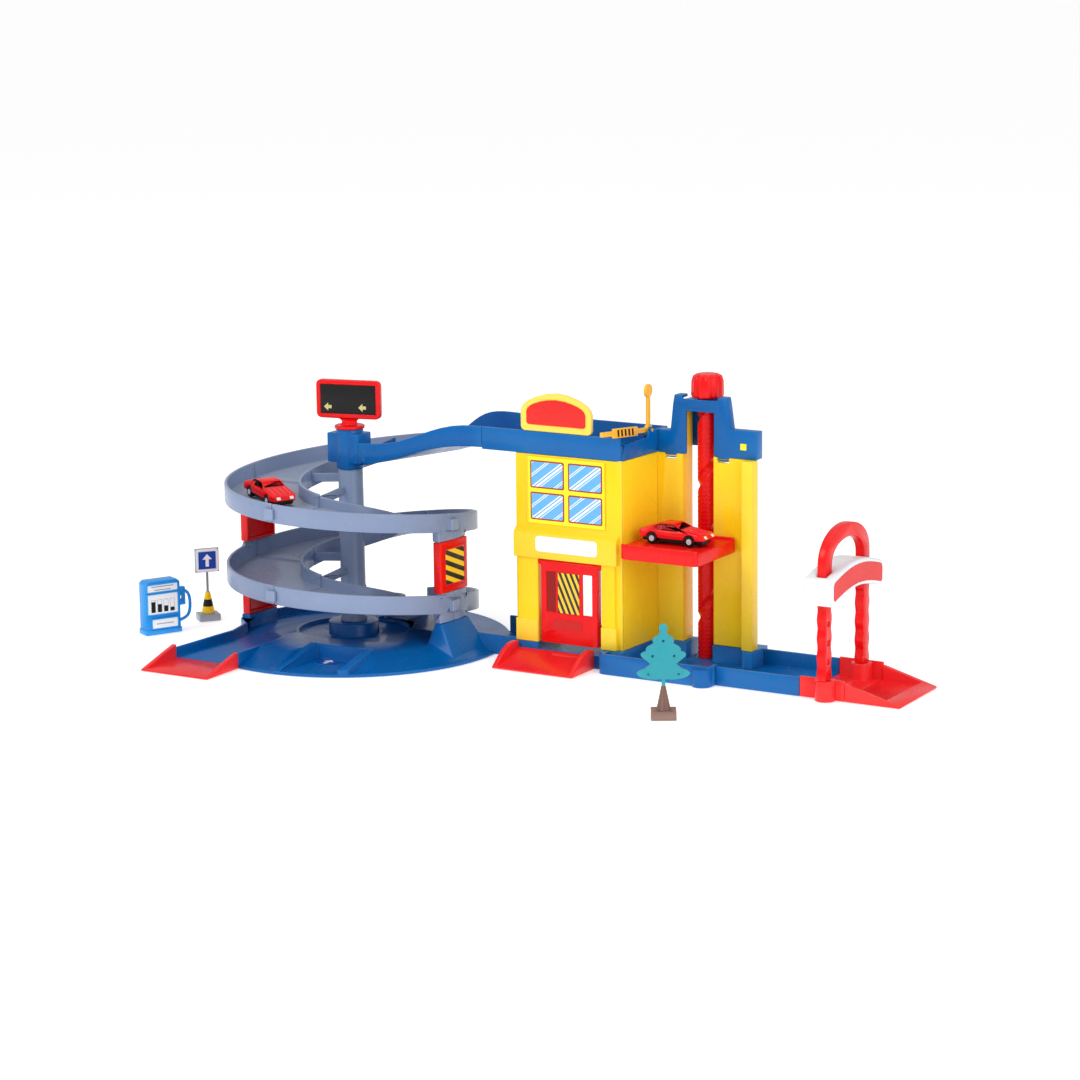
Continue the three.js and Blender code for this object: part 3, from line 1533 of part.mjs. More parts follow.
function carProfile(lowered) {
  const tail = -carLength / 2;
  return [
    [tail + carTaper / 2, carSill],
    [-tail - carTaper / 2, carSill],
    [-tail, carNoseHeight - lowered],
    [carHoodX, carHoodHeight - lowered],
    [carCowlX, carCowlHeight - lowered],
    [carRoofFrontX, carRoofHeight - lowered],
    [carRoofBackX, carRoofHeight - lowered],
    [tail + carTaper, carTailHeight - lowered],
    [tail, carTailHeight - carTaper / 2 - lowered],
  ];
}

function carBody() {
  const half = carWidth / 2;
  const end = carLength / 2;
  const plan = prismZ([
    [-end, carTaper - half],
    [carTaper - end, -half],
    [end - 2 * carTaper, -half],
    [end, carTaper - half],
    [end, half - carTaper],
    [end - 2 * carTaper, half],
    [carTaper - end, half],
    [-end, half - carTaper],
  ], 0, carRoofHeight);
  const section = prismX([
    [-half, 0],
    [half, 0],
    [half, carNoseHeight + carTaper / 2],
    [half - carTumble - glassDrop, carRoofHeight],
    [carTumble + glassDrop - half, carRoofHeight],
    [-half, carNoseHeight + carTaper / 2],
  ], -end, end);
  const sideGlass = prismY([
    [carRoofBackX, glassBottom + carTumble],
    [carRoofBackX + carTumble, carRoofHeight - 2 * glassDrop],
    [carRoofFrontX - glassDrop, carRoofHeight - 2 * glassDrop],
    [carCowlX - carTaper, glassBottom + carTumble],
  ], -half, half);
  const screen = prismX([
    [glassInset - half, carCowlHeight],
    [half - glassInset, carCowlHeight],
    [half - glassInset - carTumble / 2, carRoofHeight - glassDrop],
    [glassInset + carTumble / 2 - half, carRoofHeight - glassDrop],
  ], carRoofFrontX + glassDrop, carCowlX + overrun);
  let body = prismY(carProfile(0), -half, half)
    .intersect(plan)
    .intersect(section)
    .subtract(cabin(seat))
    .subtract(sideGlass)
    .subtract(screen);
  for (const x of [-carWheelbase / 2, carWheelbase / 2]) {
    for (const side of [-1, 1]) {
      const from = side * (half - wheelWidth - 2 * wheelInset);
      const to = side * (half + overrun);
      body = body.subtract(rodY(archRadius, Math.min(from, to), Math.max(from, to), x, wheelRadius));
    }
  }
  return body;
}

function cabin(clearance) {
  const half = carWidth / 2 - glassInset + clearance;
  const drop = glassDrop - clearance;
  return prismY(carProfile(drop), -half, half).intersect(block(carRoofBackX - carTumble - clearance,
    carCowlX - carTumble + clearance, -half, half, glassBottom - clearance, carRoofHeight));
}

function carAxle(x) {
  const half = carWidth / 2 - wheelInset;
  const body = rodY(axleRadius, wheelWidth / 2 - half, half - wheelWidth / 2, x, wheelRadius, 12);
  return body
    .add(rodY(wheelRadius, -half, wheelWidth - half, x, wheelRadius, 20))
    .add(rodY(wheelRadius, half - wheelWidth, half, x, wheelRadius, 20));
}

function carChassis() {
  const half = carWidth / 2 - wheelInset - wheelWidth - 2 * seat;
  const end = carLength / 2 - carTaper;
  let body = block(-end, end, -half, half, chassisBottom, carSill - seat);
  const sillEnd = carWheelbase / 2 - archRadius;
  body = body.add(block(-sillEnd, sillEnd, carTumble - carWidth / 2, carWidth / 2 - carTumble, chassisBottom,
    carSill - seat));
  for (const x of [-carWheelbase / 2, carWheelbase / 2]) {
    body = body.subtract(rodY(axleRadius + seat, -carWidth, carWidth, x, wheelRadius, 12));
  }
  return body;
}

function addCar(prefix) {
  const car = new THREE.Group();
  garage.add(car);
  add(`${prefix}_body`, carBody(), red, car);
  add(`${prefix}_glass`, cabin(0), black, car);
  add(`${prefix}_chassis`, carChassis(), black, car);
  add(`${prefix}_front_axle`, carAxle(carWheelbase / 2), carSilver, car);
  add(`${prefix}_rear_axle`, carAxle(-carWheelbase / 2), carSilver, car);
  return car;
}

const liftCar = addCar('lift_car');
liftCar.position.set((platformLeft + platformRight) / 2, liftCarY, platformDeck + seat);

// The upper car stands on the ramp, tipped with the deck and lifted until no wheel cuts into it
function deckHeightAt(x, y) {
  const angle = THREE.MathUtils.euclideanModulo(THREE.MathUtils.radToDeg(Math.atan2(y, x)), fullTurn);
  return rimTop(angle) - rimHeight + plate;
}

const rampCar = addCar('ramp_car');
const carSpot = polar(upperCarRadius, upperCarAngle, 0);
const forward = new THREE.Vector3(Math.cos(radians(upperCarHeading)), Math.sin(radians(upperCarHeading)), 0);
const leftward = new THREE.Vector3(-forward.y, forward.x, 0);
const halfBase = carWheelbase / 2;
const halfTrack = (carWidth - wheelWidth) / 2;

function deckUnder(ahead, aside) {
  const spot = carSpot.clone().addScaledVector(forward, ahead).addScaledVector(leftward, aside);
  return deckHeightAt(spot.x, spot.y);
}

const noseLevel = (deckUnder(halfBase, halfTrack) + deckUnder(halfBase, -halfTrack)) / 2;
const tailLevel = (deckUnder(-halfBase, halfTrack) + deckUnder(-halfBase, -halfTrack)) / 2;
const leftLevel = (deckUnder(halfBase, halfTrack) + deckUnder(-halfBase, halfTrack)) / 2;
const rightLevel = (deckUnder(halfBase, -halfTrack) + deckUnder(-halfBase, -halfTrack)) / 2;
const noseRise = (noseLevel - tailLevel) / carWheelbase;
const sideRise = (leftLevel - rightLevel) / (2 * halfTrack);
const centreLevel = (noseLevel + tailLevel) / 2;
const wheelLevel = deckUnder(halfBase, halfTrack);
const twist = Math.abs(wheelLevel - centreLevel - noseRise * halfBase - sideRise * halfTrack);
const carX = forward.clone().setZ(noseRise).normalize();
const carUp = new THREE.Vector3().crossVectors(carX, leftward.clone().setZ(sideRise)).normalize();
const carY = new THREE.Vector3().crossVectors(carUp, carX);
rampCar.quaternion.setFromRotationMatrix(new THREE.Matrix4().makeBasis(carX, carY, carUp));
rampCar.position.set(carSpot.x, carSpot.y, centreLevel + twist + 2 * seat);

// A group that stands on the floor, turned to its own angle
function standing(x, y, angle) {
  const group = new THREE.Group();
  group.position.set(x, y, 0);
  group.rotation.z = radians(angle);
  garage.add(group);
  return group;
}

const pump = standing(pumpX, pumpY, pumpAngle);
const halfPump = pumpWidth / 2;
const pumpOutline = [
  [-halfPump, 0],
  [halfPump, 0],
  [halfPump, pumpHeight - pumpShoulder],
  [halfPump - pumpShoulder, pumpHeight],
  [pumpShoulder - halfPump, pumpHeight],
  [-halfPump, pumpHeight - pumpShoulder],
];
const pumpScreenBottom = pumpHeight - pumpShoulder - pumpScreenHeight;
add('pump_body', prismY(pumpOutline, 0, pumpDepth)
  .add(block(-halfPump - pumpScreenProud, halfPump + pumpScreenProud, -pumpScreenProud,
    pumpDepth + pumpScreenProud, 0, pumpPlinth))
  .add(block(pumpScreenMargin - halfPump, halfPump - pumpScreenMargin, -pumpScreenProud, pumpScreenProud,
    pumpScreenBottom, pumpScreenBottom + pumpScreenHeight)), pumpBlue, pump);
const hoseStart = halfPump + seat;
const hosePath = new THREE.CatmullRomCurve3([
  new THREE.Vector3(hoseStart, pumpDepth / 2, hoseTop),
  new THREE.Vector3(hoseStart + hoseReach, pumpDepth / 2, hoseTop - hoseReach / 2),
  new THREE.Vector3(hoseStart + hoseReach, pumpDepth / 2, hoseBottom + hoseReach / 2),
  new THREE.Vector3(hoseStart, pumpDepth / 2, hoseBottom),
]);
const hoseSection = new THREE.Shape();
hoseSection.absarc(0, 0, hoseRadius, 0, 2 * Math.PI);
const hose = new THREE.ExtrudeGeometry(hoseSection, {
  steps: hoseSteps,
  bevelEnabled: false,
  extrudePath: hosePath,
  curveSegments: hoseSides,
});
const nozzleMiddle = (nozzleBottom + hoseTop) / 2;
const nozzleSide = (pumpDepth - nozzleDepth) / 2;
const nozzle = block(hoseStart, hoseStart + nozzleWidth, nozzleSide, pumpDepth - nozzleSide, nozzleBottom,
  hoseTop + hoseRadius)
  .subtract(block(hoseStart + nozzleWidth / 2 - nozzleHole / 2, hoseStart + nozzleWidth / 2 + nozzleHole / 2,
    0, pumpDepth, nozzleMiddle - nozzleHole, nozzleMiddle + nozzleHole / 2));
add('pump_hose', solid(hose).subtract(block(-halfPump, hoseStart, 0, pumpDepth, 0, pumpHeight)).add(nozzle),
  pumpBlue, pump);

const parking = standing(parkingX, parkingY, parkingAngle);
const coneStart = signBlockHeight + seat;
add('parking_sign_base', block(-signBlockWidth / 2, signBlockWidth / 2, -signBlockDepth / 2,
  signBlockDepth / 2, 0, signBlockHeight), stoneGrey, parking);
add('parking_sign_cone', rod(coneBottomRadius, coneStart, coneTop, 0, 0, 24, coneTopRadius)
  .add(rod(poleRadius, coneTop - overrun, signPlateBottom - seat, 0, 0, 12)), frontYellow, parking);
add('parking_sign_plate', block(-signPlateSize / 2, signPlateSize / 2, -signPlateDepth / 2,
  signPlateDepth / 2, signPlateBottom, signPlateBottom + signPlateSize), pumpBlue, parking);

const tree = standing(treeX, treeY, treeAngle);
function flutedRing(radius, z) {
  const ring = [];
  for (let side = 0; side < trunkSides; side += 1) {
    const angle = (fullTurn * side) / trunkSides;
    const dip = (trunkFluteDepth * (1 - Math.cos(radians(trunkFlutes * angle)))) / 2;
    ring.push(polar(radius - dip, angle, z));
  }
  return ring;
}

add('tree_trunk', block(-treeBlockWidth / 2, treeBlockWidth / 2, -treeBlockDepth / 2, treeBlockDepth / 2, 0,
  treeBlockHeight).add(loft([flutedRing(trunkBottomRadius, treeBlockHeight - overrun),
  flutedRing(trunkTopRadius, trunkTop)])), brown, tree);
const treeHeight = treePlateTop - treePlateBottom;
const rightHalf = treeOutlineShares.map(([across, up]) => [
  (treePlateWidth / 2) * across,
  treePlateBottom + treeHeight * up,
]);
const leftHalf = rightHalf.map(([across, up]) => [-across, up]).reverse();
let crown = prismY([...rightHalf, [0, treePlateTop], ...leftHalf], -treePlateDepth / 2, treePlateDepth / 2)
  .add(block(-treePegWidth / 2, treePegWidth / 2, -treePlateDepth / 2, treePlateDepth / 2, trunkTop + seat,
    treePlateBottom + overrun));
for (const [acrossShare, upShare] of treeHoleShares) {
  crown = crown.subtract(rodY(treeHoleRadius, -treePlateDepth, treePlateDepth,
    treePlateWidth * acrossShare, treePlateBottom + treeHeight * upShare, 12));
}
add('tree_plate', crown, teal, tree);

export default garage;
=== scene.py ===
# A toy parking garage with a screw lift and a spiral ramp, dressed for its picture.
# Lengths are in metres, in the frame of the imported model.
import json
import math

import bmesh
import bpy
from mathutils import Matrix, Vector


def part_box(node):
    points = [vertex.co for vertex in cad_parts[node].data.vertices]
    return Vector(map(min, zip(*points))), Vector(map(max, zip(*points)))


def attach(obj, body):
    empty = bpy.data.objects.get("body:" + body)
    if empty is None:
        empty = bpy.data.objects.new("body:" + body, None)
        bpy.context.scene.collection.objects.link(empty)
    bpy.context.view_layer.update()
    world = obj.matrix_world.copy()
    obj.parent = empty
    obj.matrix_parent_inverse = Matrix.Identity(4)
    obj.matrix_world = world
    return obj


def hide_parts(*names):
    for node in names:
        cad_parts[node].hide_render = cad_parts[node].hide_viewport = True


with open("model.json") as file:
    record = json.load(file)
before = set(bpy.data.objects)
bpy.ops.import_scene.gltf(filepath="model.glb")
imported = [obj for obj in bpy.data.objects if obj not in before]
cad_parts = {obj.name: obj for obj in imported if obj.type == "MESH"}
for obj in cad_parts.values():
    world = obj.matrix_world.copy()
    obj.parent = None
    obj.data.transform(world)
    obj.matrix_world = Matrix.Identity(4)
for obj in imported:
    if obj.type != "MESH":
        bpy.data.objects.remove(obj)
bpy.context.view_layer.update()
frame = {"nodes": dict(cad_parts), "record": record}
rides_on = {
    node: body
    for body, nodes in frame["record"]["behaviour"]["bodies"].items()
    for node in nodes
}


# Camera, at the angle and distance of the picture
view_turn = math.radians(30.7)
view_rise = math.radians(11.7)
view_roll = math.radians(-0.66)
view_distance = 3.406
frame_aside = 0.1855
frame_up = 0.1
lens_length = 113.53
film_width = 36
far_limit = 50
toward_camera = Vector(
    (
        math.sin(view_turn) * math.cos(view_rise),
        -math.cos(view_turn) * math.cos(view_rise),
        math.sin(view_rise),
    )
)
level_right = Vector((math.cos(view_turn), math.sin(view_turn), 0))
level_up = toward_camera.cross(level_right)
camera_right = level_right * math.cos(view_roll) + level_up * math.sin(view_roll)
camera_up = level_up * math.cos(view_roll) - level_right * math.sin(view_roll)
lens = bpy.data.cameras.new("picture_lens")
lens.lens = lens_length
lens.sensor_width = film_width
lens.clip_end = far_limit
camera = bpy.data.objects.new("picture_camera", lens)
camera_place = toward_camera * view_distance + camera_right * frame_aside + camera_up * frame_up
camera.matrix_world = Matrix.Translation(camera_place) @ Matrix(
    (camera_right, camera_up, toward_camera)
).transposed().to_4x4()
bpy.context.scene.collection.objects.link(camera)
bpy.context.scene.camera = camera


# Studio: a pale floor, a large soft lamp at the front left, a fill at the right and a bright room
def soft_lamp(name, place, size, power):
    """A square soft lamp that points at the middle of the garage."""
    light = bpy.data.lights.new(name, "AREA")
    light.size = size
    light.energy = power
    lamp = bpy.data.objects.new(name, light)
    aim = (garage_middle - Vector(place)).to_track_quat("-Z", "Y")
    lamp.matrix_world = Matrix.Translation(place) @ aim.to_matrix().to_4x4()
    bpy.context.scene.collection.objects.link(lamp)


garage_middle = Vector((0.2, 0, 0.1))
soft_lamp("key_lamp", (-0.7, -1.7, 1.6), 1.1, 17)
soft_lamp("fill_lamp", (1.9, -0.9, 1.0), 1.4, 13)
soft_lamp("top_lamp", (0.3, 0.4, 2.1), 1.6, 7)
room_light = 0.62
room = bpy.data.worlds.new("bright_room")
room.use_nodes = True
room.node_tree.nodes["Background"].inputs["Color"].default_value = (1, 1, 1, 1)
room.node_tree.nodes["Background"].inputs["Strength"].default_value = room_light
bpy.context.scene.world = room
bpy.context.scene.view_settings.view_transform = "Standard"


# Finishes
def shade(red, green, blue):
    """A colour of the screen, 0 to 255, as the light that it stands for."""
    light = []
    for part in (red, green, blue):
        share = part / 255
        light.append(share / 12.92 if share < 0.04045 else ((share + 0.055) / 1.055) ** 2.4)
    return (*light, 1)


cloud_scale = 11
smear_scale = 34
grain_scale = 520
grain_depth = 0.00012
grain_strength = 0.35
# How far raised edges are paled towards a bright colour: a painted highlight.
edge_highlight_share = 0.35


class Finish:
    """The nodes of one material, with short calls for those that are used again and again."""

    def __init__(self, name):
        self.material = bpy.data.materials.new(name)
        self.material.use_nodes = True
        self.nodes = self.material.node_tree.nodes
        self.links = self.material.node_tree.links
        self.shader = self.nodes["Principled BSDF"]
        self.place = self.nodes.new("ShaderNodeTexCoord").outputs["Object"]

    def join(self, start, end):
        """A link from one socket to another."""
        self.links.new(start, end)

    def give(self, **values):
        """Plain numbers for the shader's own sockets; an underscore stands for a space."""
        for socket, value in values.items():
            self.shader.inputs[socket.replace("_", " ")].default_value = value

    def noise(self, scale, detail):
        """Cloudy grey, in the place of the piece."""
        node = self.nodes.new("ShaderNodeTexNoise")
        node.inputs["Scale"].default_value = scale
        node.inputs["Detail"].default_value = detail
        self.join(self.place, node.inputs["Vector"])
        return node.outputs["Fac"]

    def spread(self, value, low, high, start=0.0, end=1.0):
        """A value between low and high, stretched to run from start to end."""
        node = self.nodes.new("ShaderNodeMapRange")
        node.inputs["From Min"].default_value = low
        node.inputs["From Max"].default_value = high
        node.inputs["To Min"].default_value = start
        node.inputs["To Max"].default_value = end
        self.join(value, node.inputs["Value"])
        return node.outputs["Result"]

    def math(self, operation, first, second=0.5):
        """One sum of two values, each a number or a socket."""
        node = self.nodes.new("ShaderNodeMath")
        node.operation = operation
        for socket, value in zip(node.inputs, (first, second)):
            if isinstance(value, (int, float)):
                socket.default_value = value
            else:
                self.join(value, socket)
        return node.outputs["Value"]

    def blend(self, share, first, second):
        """The first colour where the share is zero, the second where it is one."""
        node = self.nodes.new("ShaderNodeMix")
        node.data_type = "RGBA"
        self.join(share, node.inputs["Factor"])
        for socket, value in ((node.inputs["A"], first), (node.inputs["B"], second)):
            if isinstance(value, tuple):
                socket.default_value = value
            else:
                self.join(value, socket)
        return node.outputs["Result"]

    def along(self, angle, about, centre=(0, 0, 0)):
        """The x, y and z of a place, read in a frame that is turned about an axis, for stripes and bands."""
        shift = self.nodes.new("ShaderNodeMapping")
        shift.vector_type = "TEXTURE"
        shift.inputs["Location"].default_value = centre
        shift.inputs["Rotation"].default_value["XYZ".index(about)] = angle
        self.join(self.place, shift.inputs["Vector"])
        parts = self.nodes.new("ShaderNodeSeparateXYZ")
        self.join(shift.outputs["Vector"], parts.inputs["Vector"])
        return parts.outputs

    def facing(self, axis):
        """How far the surface faces along an axis of the object."""
        parts = self.nodes.new("ShaderNodeSeparateXYZ")
        self.join(self.nodes.new("ShaderNodeNewGeometry").outputs["Normal"], parts.inputs["Vector"])
        return parts.outputs[axis]

    def masked(self, *shares):
        """The product of several shares."""
        total = shares[0]
        for share in shares[1:]:
            total = self.math("MULTIPLY", total, share)
        return total

    def within(self, value, middle, reach):
        """One where a value is within reach of a middle, zero elsewhere."""
        band = self.math("COMPARE", value, middle)
        band.node.inputs[2].default_value = reach
        return band

    def clouds(self, scale, detail=3):
        """A soft mottle from zero to one."""
        return self.spread(self.noise(scale, detail), 0.3, 0.7)

    def relief(self, height, depth, strength):
        """A fine grain in the surface."""
        node = self.nodes.new("ShaderNodeBump")
        node.inputs["Distance"].default_value = depth
        node.inputs["Strength"].default_value = strength
        self.join(height, node.inputs["Height"])
        self.join(node.outputs["Normal"], self.shader.inputs["Normal"])

    def mould_grain(self):
        """The faint grain that a mould leaves."""
        self.relief(self.noise(grain_scale, 3), grain_depth, grain_strength)

    def edges(self):
        """Nearly one on raised edges, zero on flat faces."""
        return self.spread(self.nodes.new("ShaderNodeNewGeometry").outputs["Pointiness"], 0.53, 0.62)


def moulded_plastic(name, colour, deep, bright, roughness=0.28, deck=None):
    """Glossy moulded plastic: faint cloudy colour, paler edges that are a painted highlight, and a skin that
    isn't quite even.

    The colour given for the deck is a painted shade for faces that look up, standing for how the light falls
    on them.
    """
    finish = Finish(name)
    cloud = finish.clouds(cloud_scale)
    plastic = finish.blend(cloud, shade(*deep), shade(*colour))
    # Faces that look up take the deck colour: painted shade.
    if deck:
        upward = finish.spread(finish.facing("Z"), 0.7, 0.95)
        plastic = finish.blend(upward, plastic, shade(*deck))
    # Raised edges paled towards the bright colour: a painted highlight.
    edge_highlight = finish.math("MULTIPLY", finish.edges(), edge_highlight_share)
    finish.join(finish.blend(edge_highlight, plastic, shade(*bright)), finish.shader.inputs["Base Color"])
    smear = finish.spread(finish.noise(smear_scale, 4), 0.25, 0.75, roughness - 0.06, roughness + 0.08)
    finish.join(smear, finish.shader.inputs["Roughness"])
    finish.mould_grain()
    finish.give(Specular_IOR_Level=0.2, Coat_Weight=0.1, Coat_Roughness=0.08)
    return finish.material


blue_plastic = moulded_plastic("blue_plastic", (0, 97, 171), (0, 88, 160), (60, 148, 215))
# The ramps' upward faces take another grey, a painted shade.
grey_plastic = moulded_plastic(
    "grey_blue_plastic", (134, 150, 182), (124, 140, 172), (176, 190, 216), deck=(140, 150, 172)
)
red_plastic = moulded_plastic("red_plastic", (236, 8, 14), (224, 2, 8), (255, 70, 60))
ramp_red = moulded_plastic("ramp_red_plastic", (244, 40, 42), (236, 30, 34), (255, 110, 100))
yellow_plastic = moulded_plastic("yellow_plastic", (255, 216, 30), (252, 206, 16), (255, 238, 130))
# A copy of the yellow, a little more orange, for walls that face sideways: painted shade of the side faces.
side_yellow = moulded_plastic("side_yellow_plastic", (255, 212, 12), (253, 204, 4), (255, 232, 90))
pale_yellow = moulded_plastic("pale_yellow_plastic", (255, 222, 92), (250, 212, 76), (255, 240, 160))
barrier_yellow = moulded_plastic("barrier_plastic", (252, 190, 58), (244, 176, 44), (255, 220, 130))
white_plastic = moulded_plastic("white_plastic", (236, 244, 246), (226, 236, 240), (255, 255, 255))
black_plastic = moulded_plastic("black_plastic", (12, 12, 12), (6, 6, 7), (50, 50, 52), 0.4)
teal_plastic = moulded_plastic("teal_plastic", (48, 156, 168), (42, 148, 160), (110, 205, 212), 0.4)
brown_plastic = moulded_plastic("brown_plastic", (128, 96, 86), (112, 82, 74), (176, 150, 142), 0.4)
pump_plastic = moulded_plastic("pump_blue_plastic", (32, 152, 232), (24, 140, 220), (110, 195, 250))
stone_plastic = moulded_plastic("grey_plastic", (150, 158, 164), (138, 146, 152), (190, 196, 200))

plate_slope = math.radians(-5.6)
plate_start = (0, 0.0695, 0.226)
plate_bars_middle = -0.047
plate_bars_reach = 0.0175
plate_bars_half_height = 0.0033
bar_period = 0.007
bar_lean = 0.25


def barrier_paint():
    """The barrier's plastic, with black bars on its plate, which slopes up to the tip."""
    finish = Finish("barrier_paint")
    plastic = finish.blend(finish.clouds(cloud_scale), shade(244, 176, 44), shade(252, 190, 58))
    along = finish.along(plate_slope, "X", plate_start)
    near = finish.within(along["Y"], plate_bars_middle, plate_bars_reach)
    level = finish.within(along["Z"], 0.0, plate_bars_half_height)
    lean = finish.math("ADD", along["Y"], finish.math("MULTIPLY", along["Z"], bar_lean))
    bars = finish.math("LESS_THAN", finish.math("FRACT", finish.math("DIVIDE", lean, bar_period)), 0.5)
    paint = finish.blend(finish.masked(near, level, bars), plastic, shade(20, 18, 16))
    finish.join(paint, finish.shader.inputs["Base Color"])
    finish.mould_grain()
    finish.give(Roughness=0.32, Specular_IOR_Level=0.32)
    return finish.material


cone_band_height = 0.0182
cone_band_half = 0.0036
cone_top = 0.0296


def cone_paint():
    """The cone's yellow with a black band, and the grey pole above it."""
    finish = Finish("cone_paint")
    height = finish.along(0, "Y")["Z"]
    paint = finish.blend(finish.clouds(30), shade(240, 192, 10), shade(248, 204, 24))
    paint = finish.blend(finish.within(height, cone_band_height, cone_band_half), paint, shade(18, 16, 14))
    pole = finish.math("GREATER_THAN", height, cone_top)
    finish.join(finish.blend(pole, paint, shade(150, 158, 162)), finish.shader.inputs["Base Color"])
    finish.mould_grain()
    finish.give(Roughness=0.34, Specular_IOR_Level=0.32)
    return finish.material


striped_barrier = barrier_paint()
banded_cone = cone_paint()


# Making pieces
smooth_limit = math.radians(35)
weld_distance = 0.00002
ahead = Vector((0, -1, 0))
to_right = Vector((1, 0, 0))


def finish_piece(mesh, name, material, body):
    """A worked mesh becomes a piece that rides on a body and takes its finish from a slot."""
    data = bpy.data.meshes.new(name)
    mesh.to_mesh(data)
    mesh.free()
    for face in data.polygons:
        face.use_smooth = True
    data.set_sharp_from_angle(angle=smooth_limit)
    data.materials.append(material)
    piece = bpy.data.objects.new(name, data)
    bpy.context.scene.collection.objects.link(piece)
    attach(piece, body)
    return piece


def round_edges(mesh, sides, reach, segments, clamp):
    """A rounding along edges. Clamp keeps it from folding over itself where edges are short."""
    bmesh.ops.bevel(
        mesh, geom=sides, offset=reach, offset_type="OFFSET", segments=segments, profile=0.5,
        affect="EDGES", clamp_overlap=clamp, material=-1,
    )


def soften(mesh, reach, sharp=25, segments=2, clamp=False):
    """Rounds every edge that is sharper than an angle."""
    corners = [
        side for side in mesh.edges
        if len(side.link_faces) == 2 and side.calc_face_angle(0) > math.radians(sharp)
    ]
    round_edges(mesh, corners, reach, segments, clamp)


def packed_mesh(node):
    """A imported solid's mesh, welded at its corners."""
    mesh = bmesh.new()
    mesh.from_mesh(frame["nodes"][node].data)
    bmesh.ops.remove_doubles(mesh, verts=mesh.verts[:], dist=weld_distance)
    return mesh


def join_flat_faces(mesh, angle):
    """Makes one face of neighbours that lie within an angle of each other."""
    bmesh.ops.dissolve_limit(
        mesh, angle_limit=math.radians(angle), verts=mesh.verts[:], edges=mesh.edges[:]
    )


# Pieces with edges so short that a full rounding would fold
tight_corners = ("tree_trunk", "right_side_wall", "lift_wall_left", "building_base")


def moulding(node, material, reach):
    """A moulded piece in the place of a solid: the same form with small rounded edges."""
    mesh = packed_mesh(node)
    join_flat_faces(mesh, 0.5)
    soften(mesh, reach, clamp=node in tight_corners)
    piece = finish_piece(mesh, f"moulded_{node}", material, rides_on[node])
    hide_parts(node)


def slab(low, high, reach):
    """A block with rounded edges between two corners."""
    mesh = bmesh.new()
    bmesh.ops.create_cube(mesh, size=1)
    bmesh.ops.scale(mesh, vec=Vector(high) - Vector(low), verts=mesh.verts)
    bmesh.ops.translate(mesh, vec=(Vector(high) + Vector(low)) / 2, verts=mesh.verts)
    soften(mesh, reach)
    return mesh


def push_out(mesh, faces, way):
    """Makes a closed plate of flat faces, pushed out along a way."""
    pushed = bmesh.ops.extrude_face_region(mesh, geom=faces, use_keep_orig=True)
    moved = [part for part in pushed["geom"] if isinstance(part, bmesh.types.BMVert)]
    bmesh.ops.translate(mesh, vec=way, verts=moved)
    bmesh.ops.recalc_face_normals(mesh, faces=mesh.faces[:])


def arrow_sheet(outline, thickness):
    """A plain arrow that faces the front, from an outline in millimetres."""
    mesh = bmesh.new()
    face = mesh.faces.new([mesh.verts.new((x / 1000, 0, z / 1000)) for x, z in outline])
    push_out(mesh, [face], ahead * thickness)
    return mesh


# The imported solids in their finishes
ramps = [f"ramp_quarter_{turn}" for turn in range(1, 9)]
for nodes, material, slot, reach in (
    (ramps, grey_plastic, "ramp_grey", 0.0008),
    (("column_lower", "column_middle", "column_upper"), grey_plastic, "ramp_grey", 0.0005),
    (("spiral_base", "building_base", "right_track", "ramp_entry"), blue_plastic, "base_blue", 0.0006),
    (("bridge_track", "roof_deck", "column_tub", "lift_head"), blue_plastic, "base_blue", 0.0007),
    (("support_left_lower", "support_left_upper", "support_right", "exit_sign"), red_plastic, "red", 0.0008),
    (("left_exit_ramp", "door_ramp", "gate_base", "right_exit_ramp"), ramp_red, "red", 0.0008),
    (("gate_arch", "garage_door", "lift_screw"), red_plastic, "red", 0.0006),
    (("lift_platform", "lift_follower"), red_plastic, "red", 0.0006),
    (("lift_knob",), red_plastic, "red", 0.001),
    (("exit_sign_panel",), black_plastic, "black", 0.0003),
    (("front_wall", "lift_wall_right"), yellow_plastic, "front_yellow", 0.0007),
    (("left_side_wall", "right_side_wall", "lift_wall_left"), side_yellow, "side_yellow", 0.0006),
    (("arched_sign",), pale_yellow, "front_yellow", 0.0008),
    (("barrier_arm",), striped_barrier, "barrier_orange", 0.0004),
    (("barrier_pin",), barrier_yellow, "barrier_orange", 0.0003),
    (("gate_board",), white_plastic, "white", 0.0025),
):
    for node in nodes:
        moulding(node, material, reach)
for car in ("lift_car", "ramp_car"):
    moulding(f"{car}_body", red_plastic, 0.0005)
    moulding(f"{car}_glass", black_plastic, 0.0003)
    moulding(f"{car}_chassis", black_plastic, 0.0003)
    for end in ("front", "rear"):
        moulding(f"{car}_{end}_axle", black_plastic, 0.0004)
for node in ("pump_body", "pump_hose"):
    moulding(node, pump_plastic, 0.0006)
moulding("parking_sign_base", stone_plastic, 0.0008)
moulding("parking_sign_cone", banded_cone, 0.0004)
moulding("parking_sign_plate", stone_plastic, 0.0005)
moulding("tree_trunk", brown_plastic, 0.0006)
moulding("tree_plate", teal_plastic, 0.0004)


# Printed sheets and small trim
sheet_edge = 0.0001


def tile(width, height, depth, corner=0.0, edge=sheet_edge):
    """A plate that faces the front with its back on zero, with round corners and soft edges."""
    mesh = bmesh.new()
    bmesh.ops.create_cube(mesh, size=1)
    bmesh.ops.scale(mesh, vec=(width, depth, height), verts=mesh.verts)
    bmesh.ops.translate(mesh, vec=(0, -depth / 2, 0), verts=mesh.verts)
    if corner:
        through = [side for side in mesh.edges if abs(side.verts[0].co.y - side.verts[1].co.y) > depth / 2]
        round_edges(mesh, through, corner, 6, False)
    if edge:
        soften(mesh, edge, 40, 1)
    return mesh


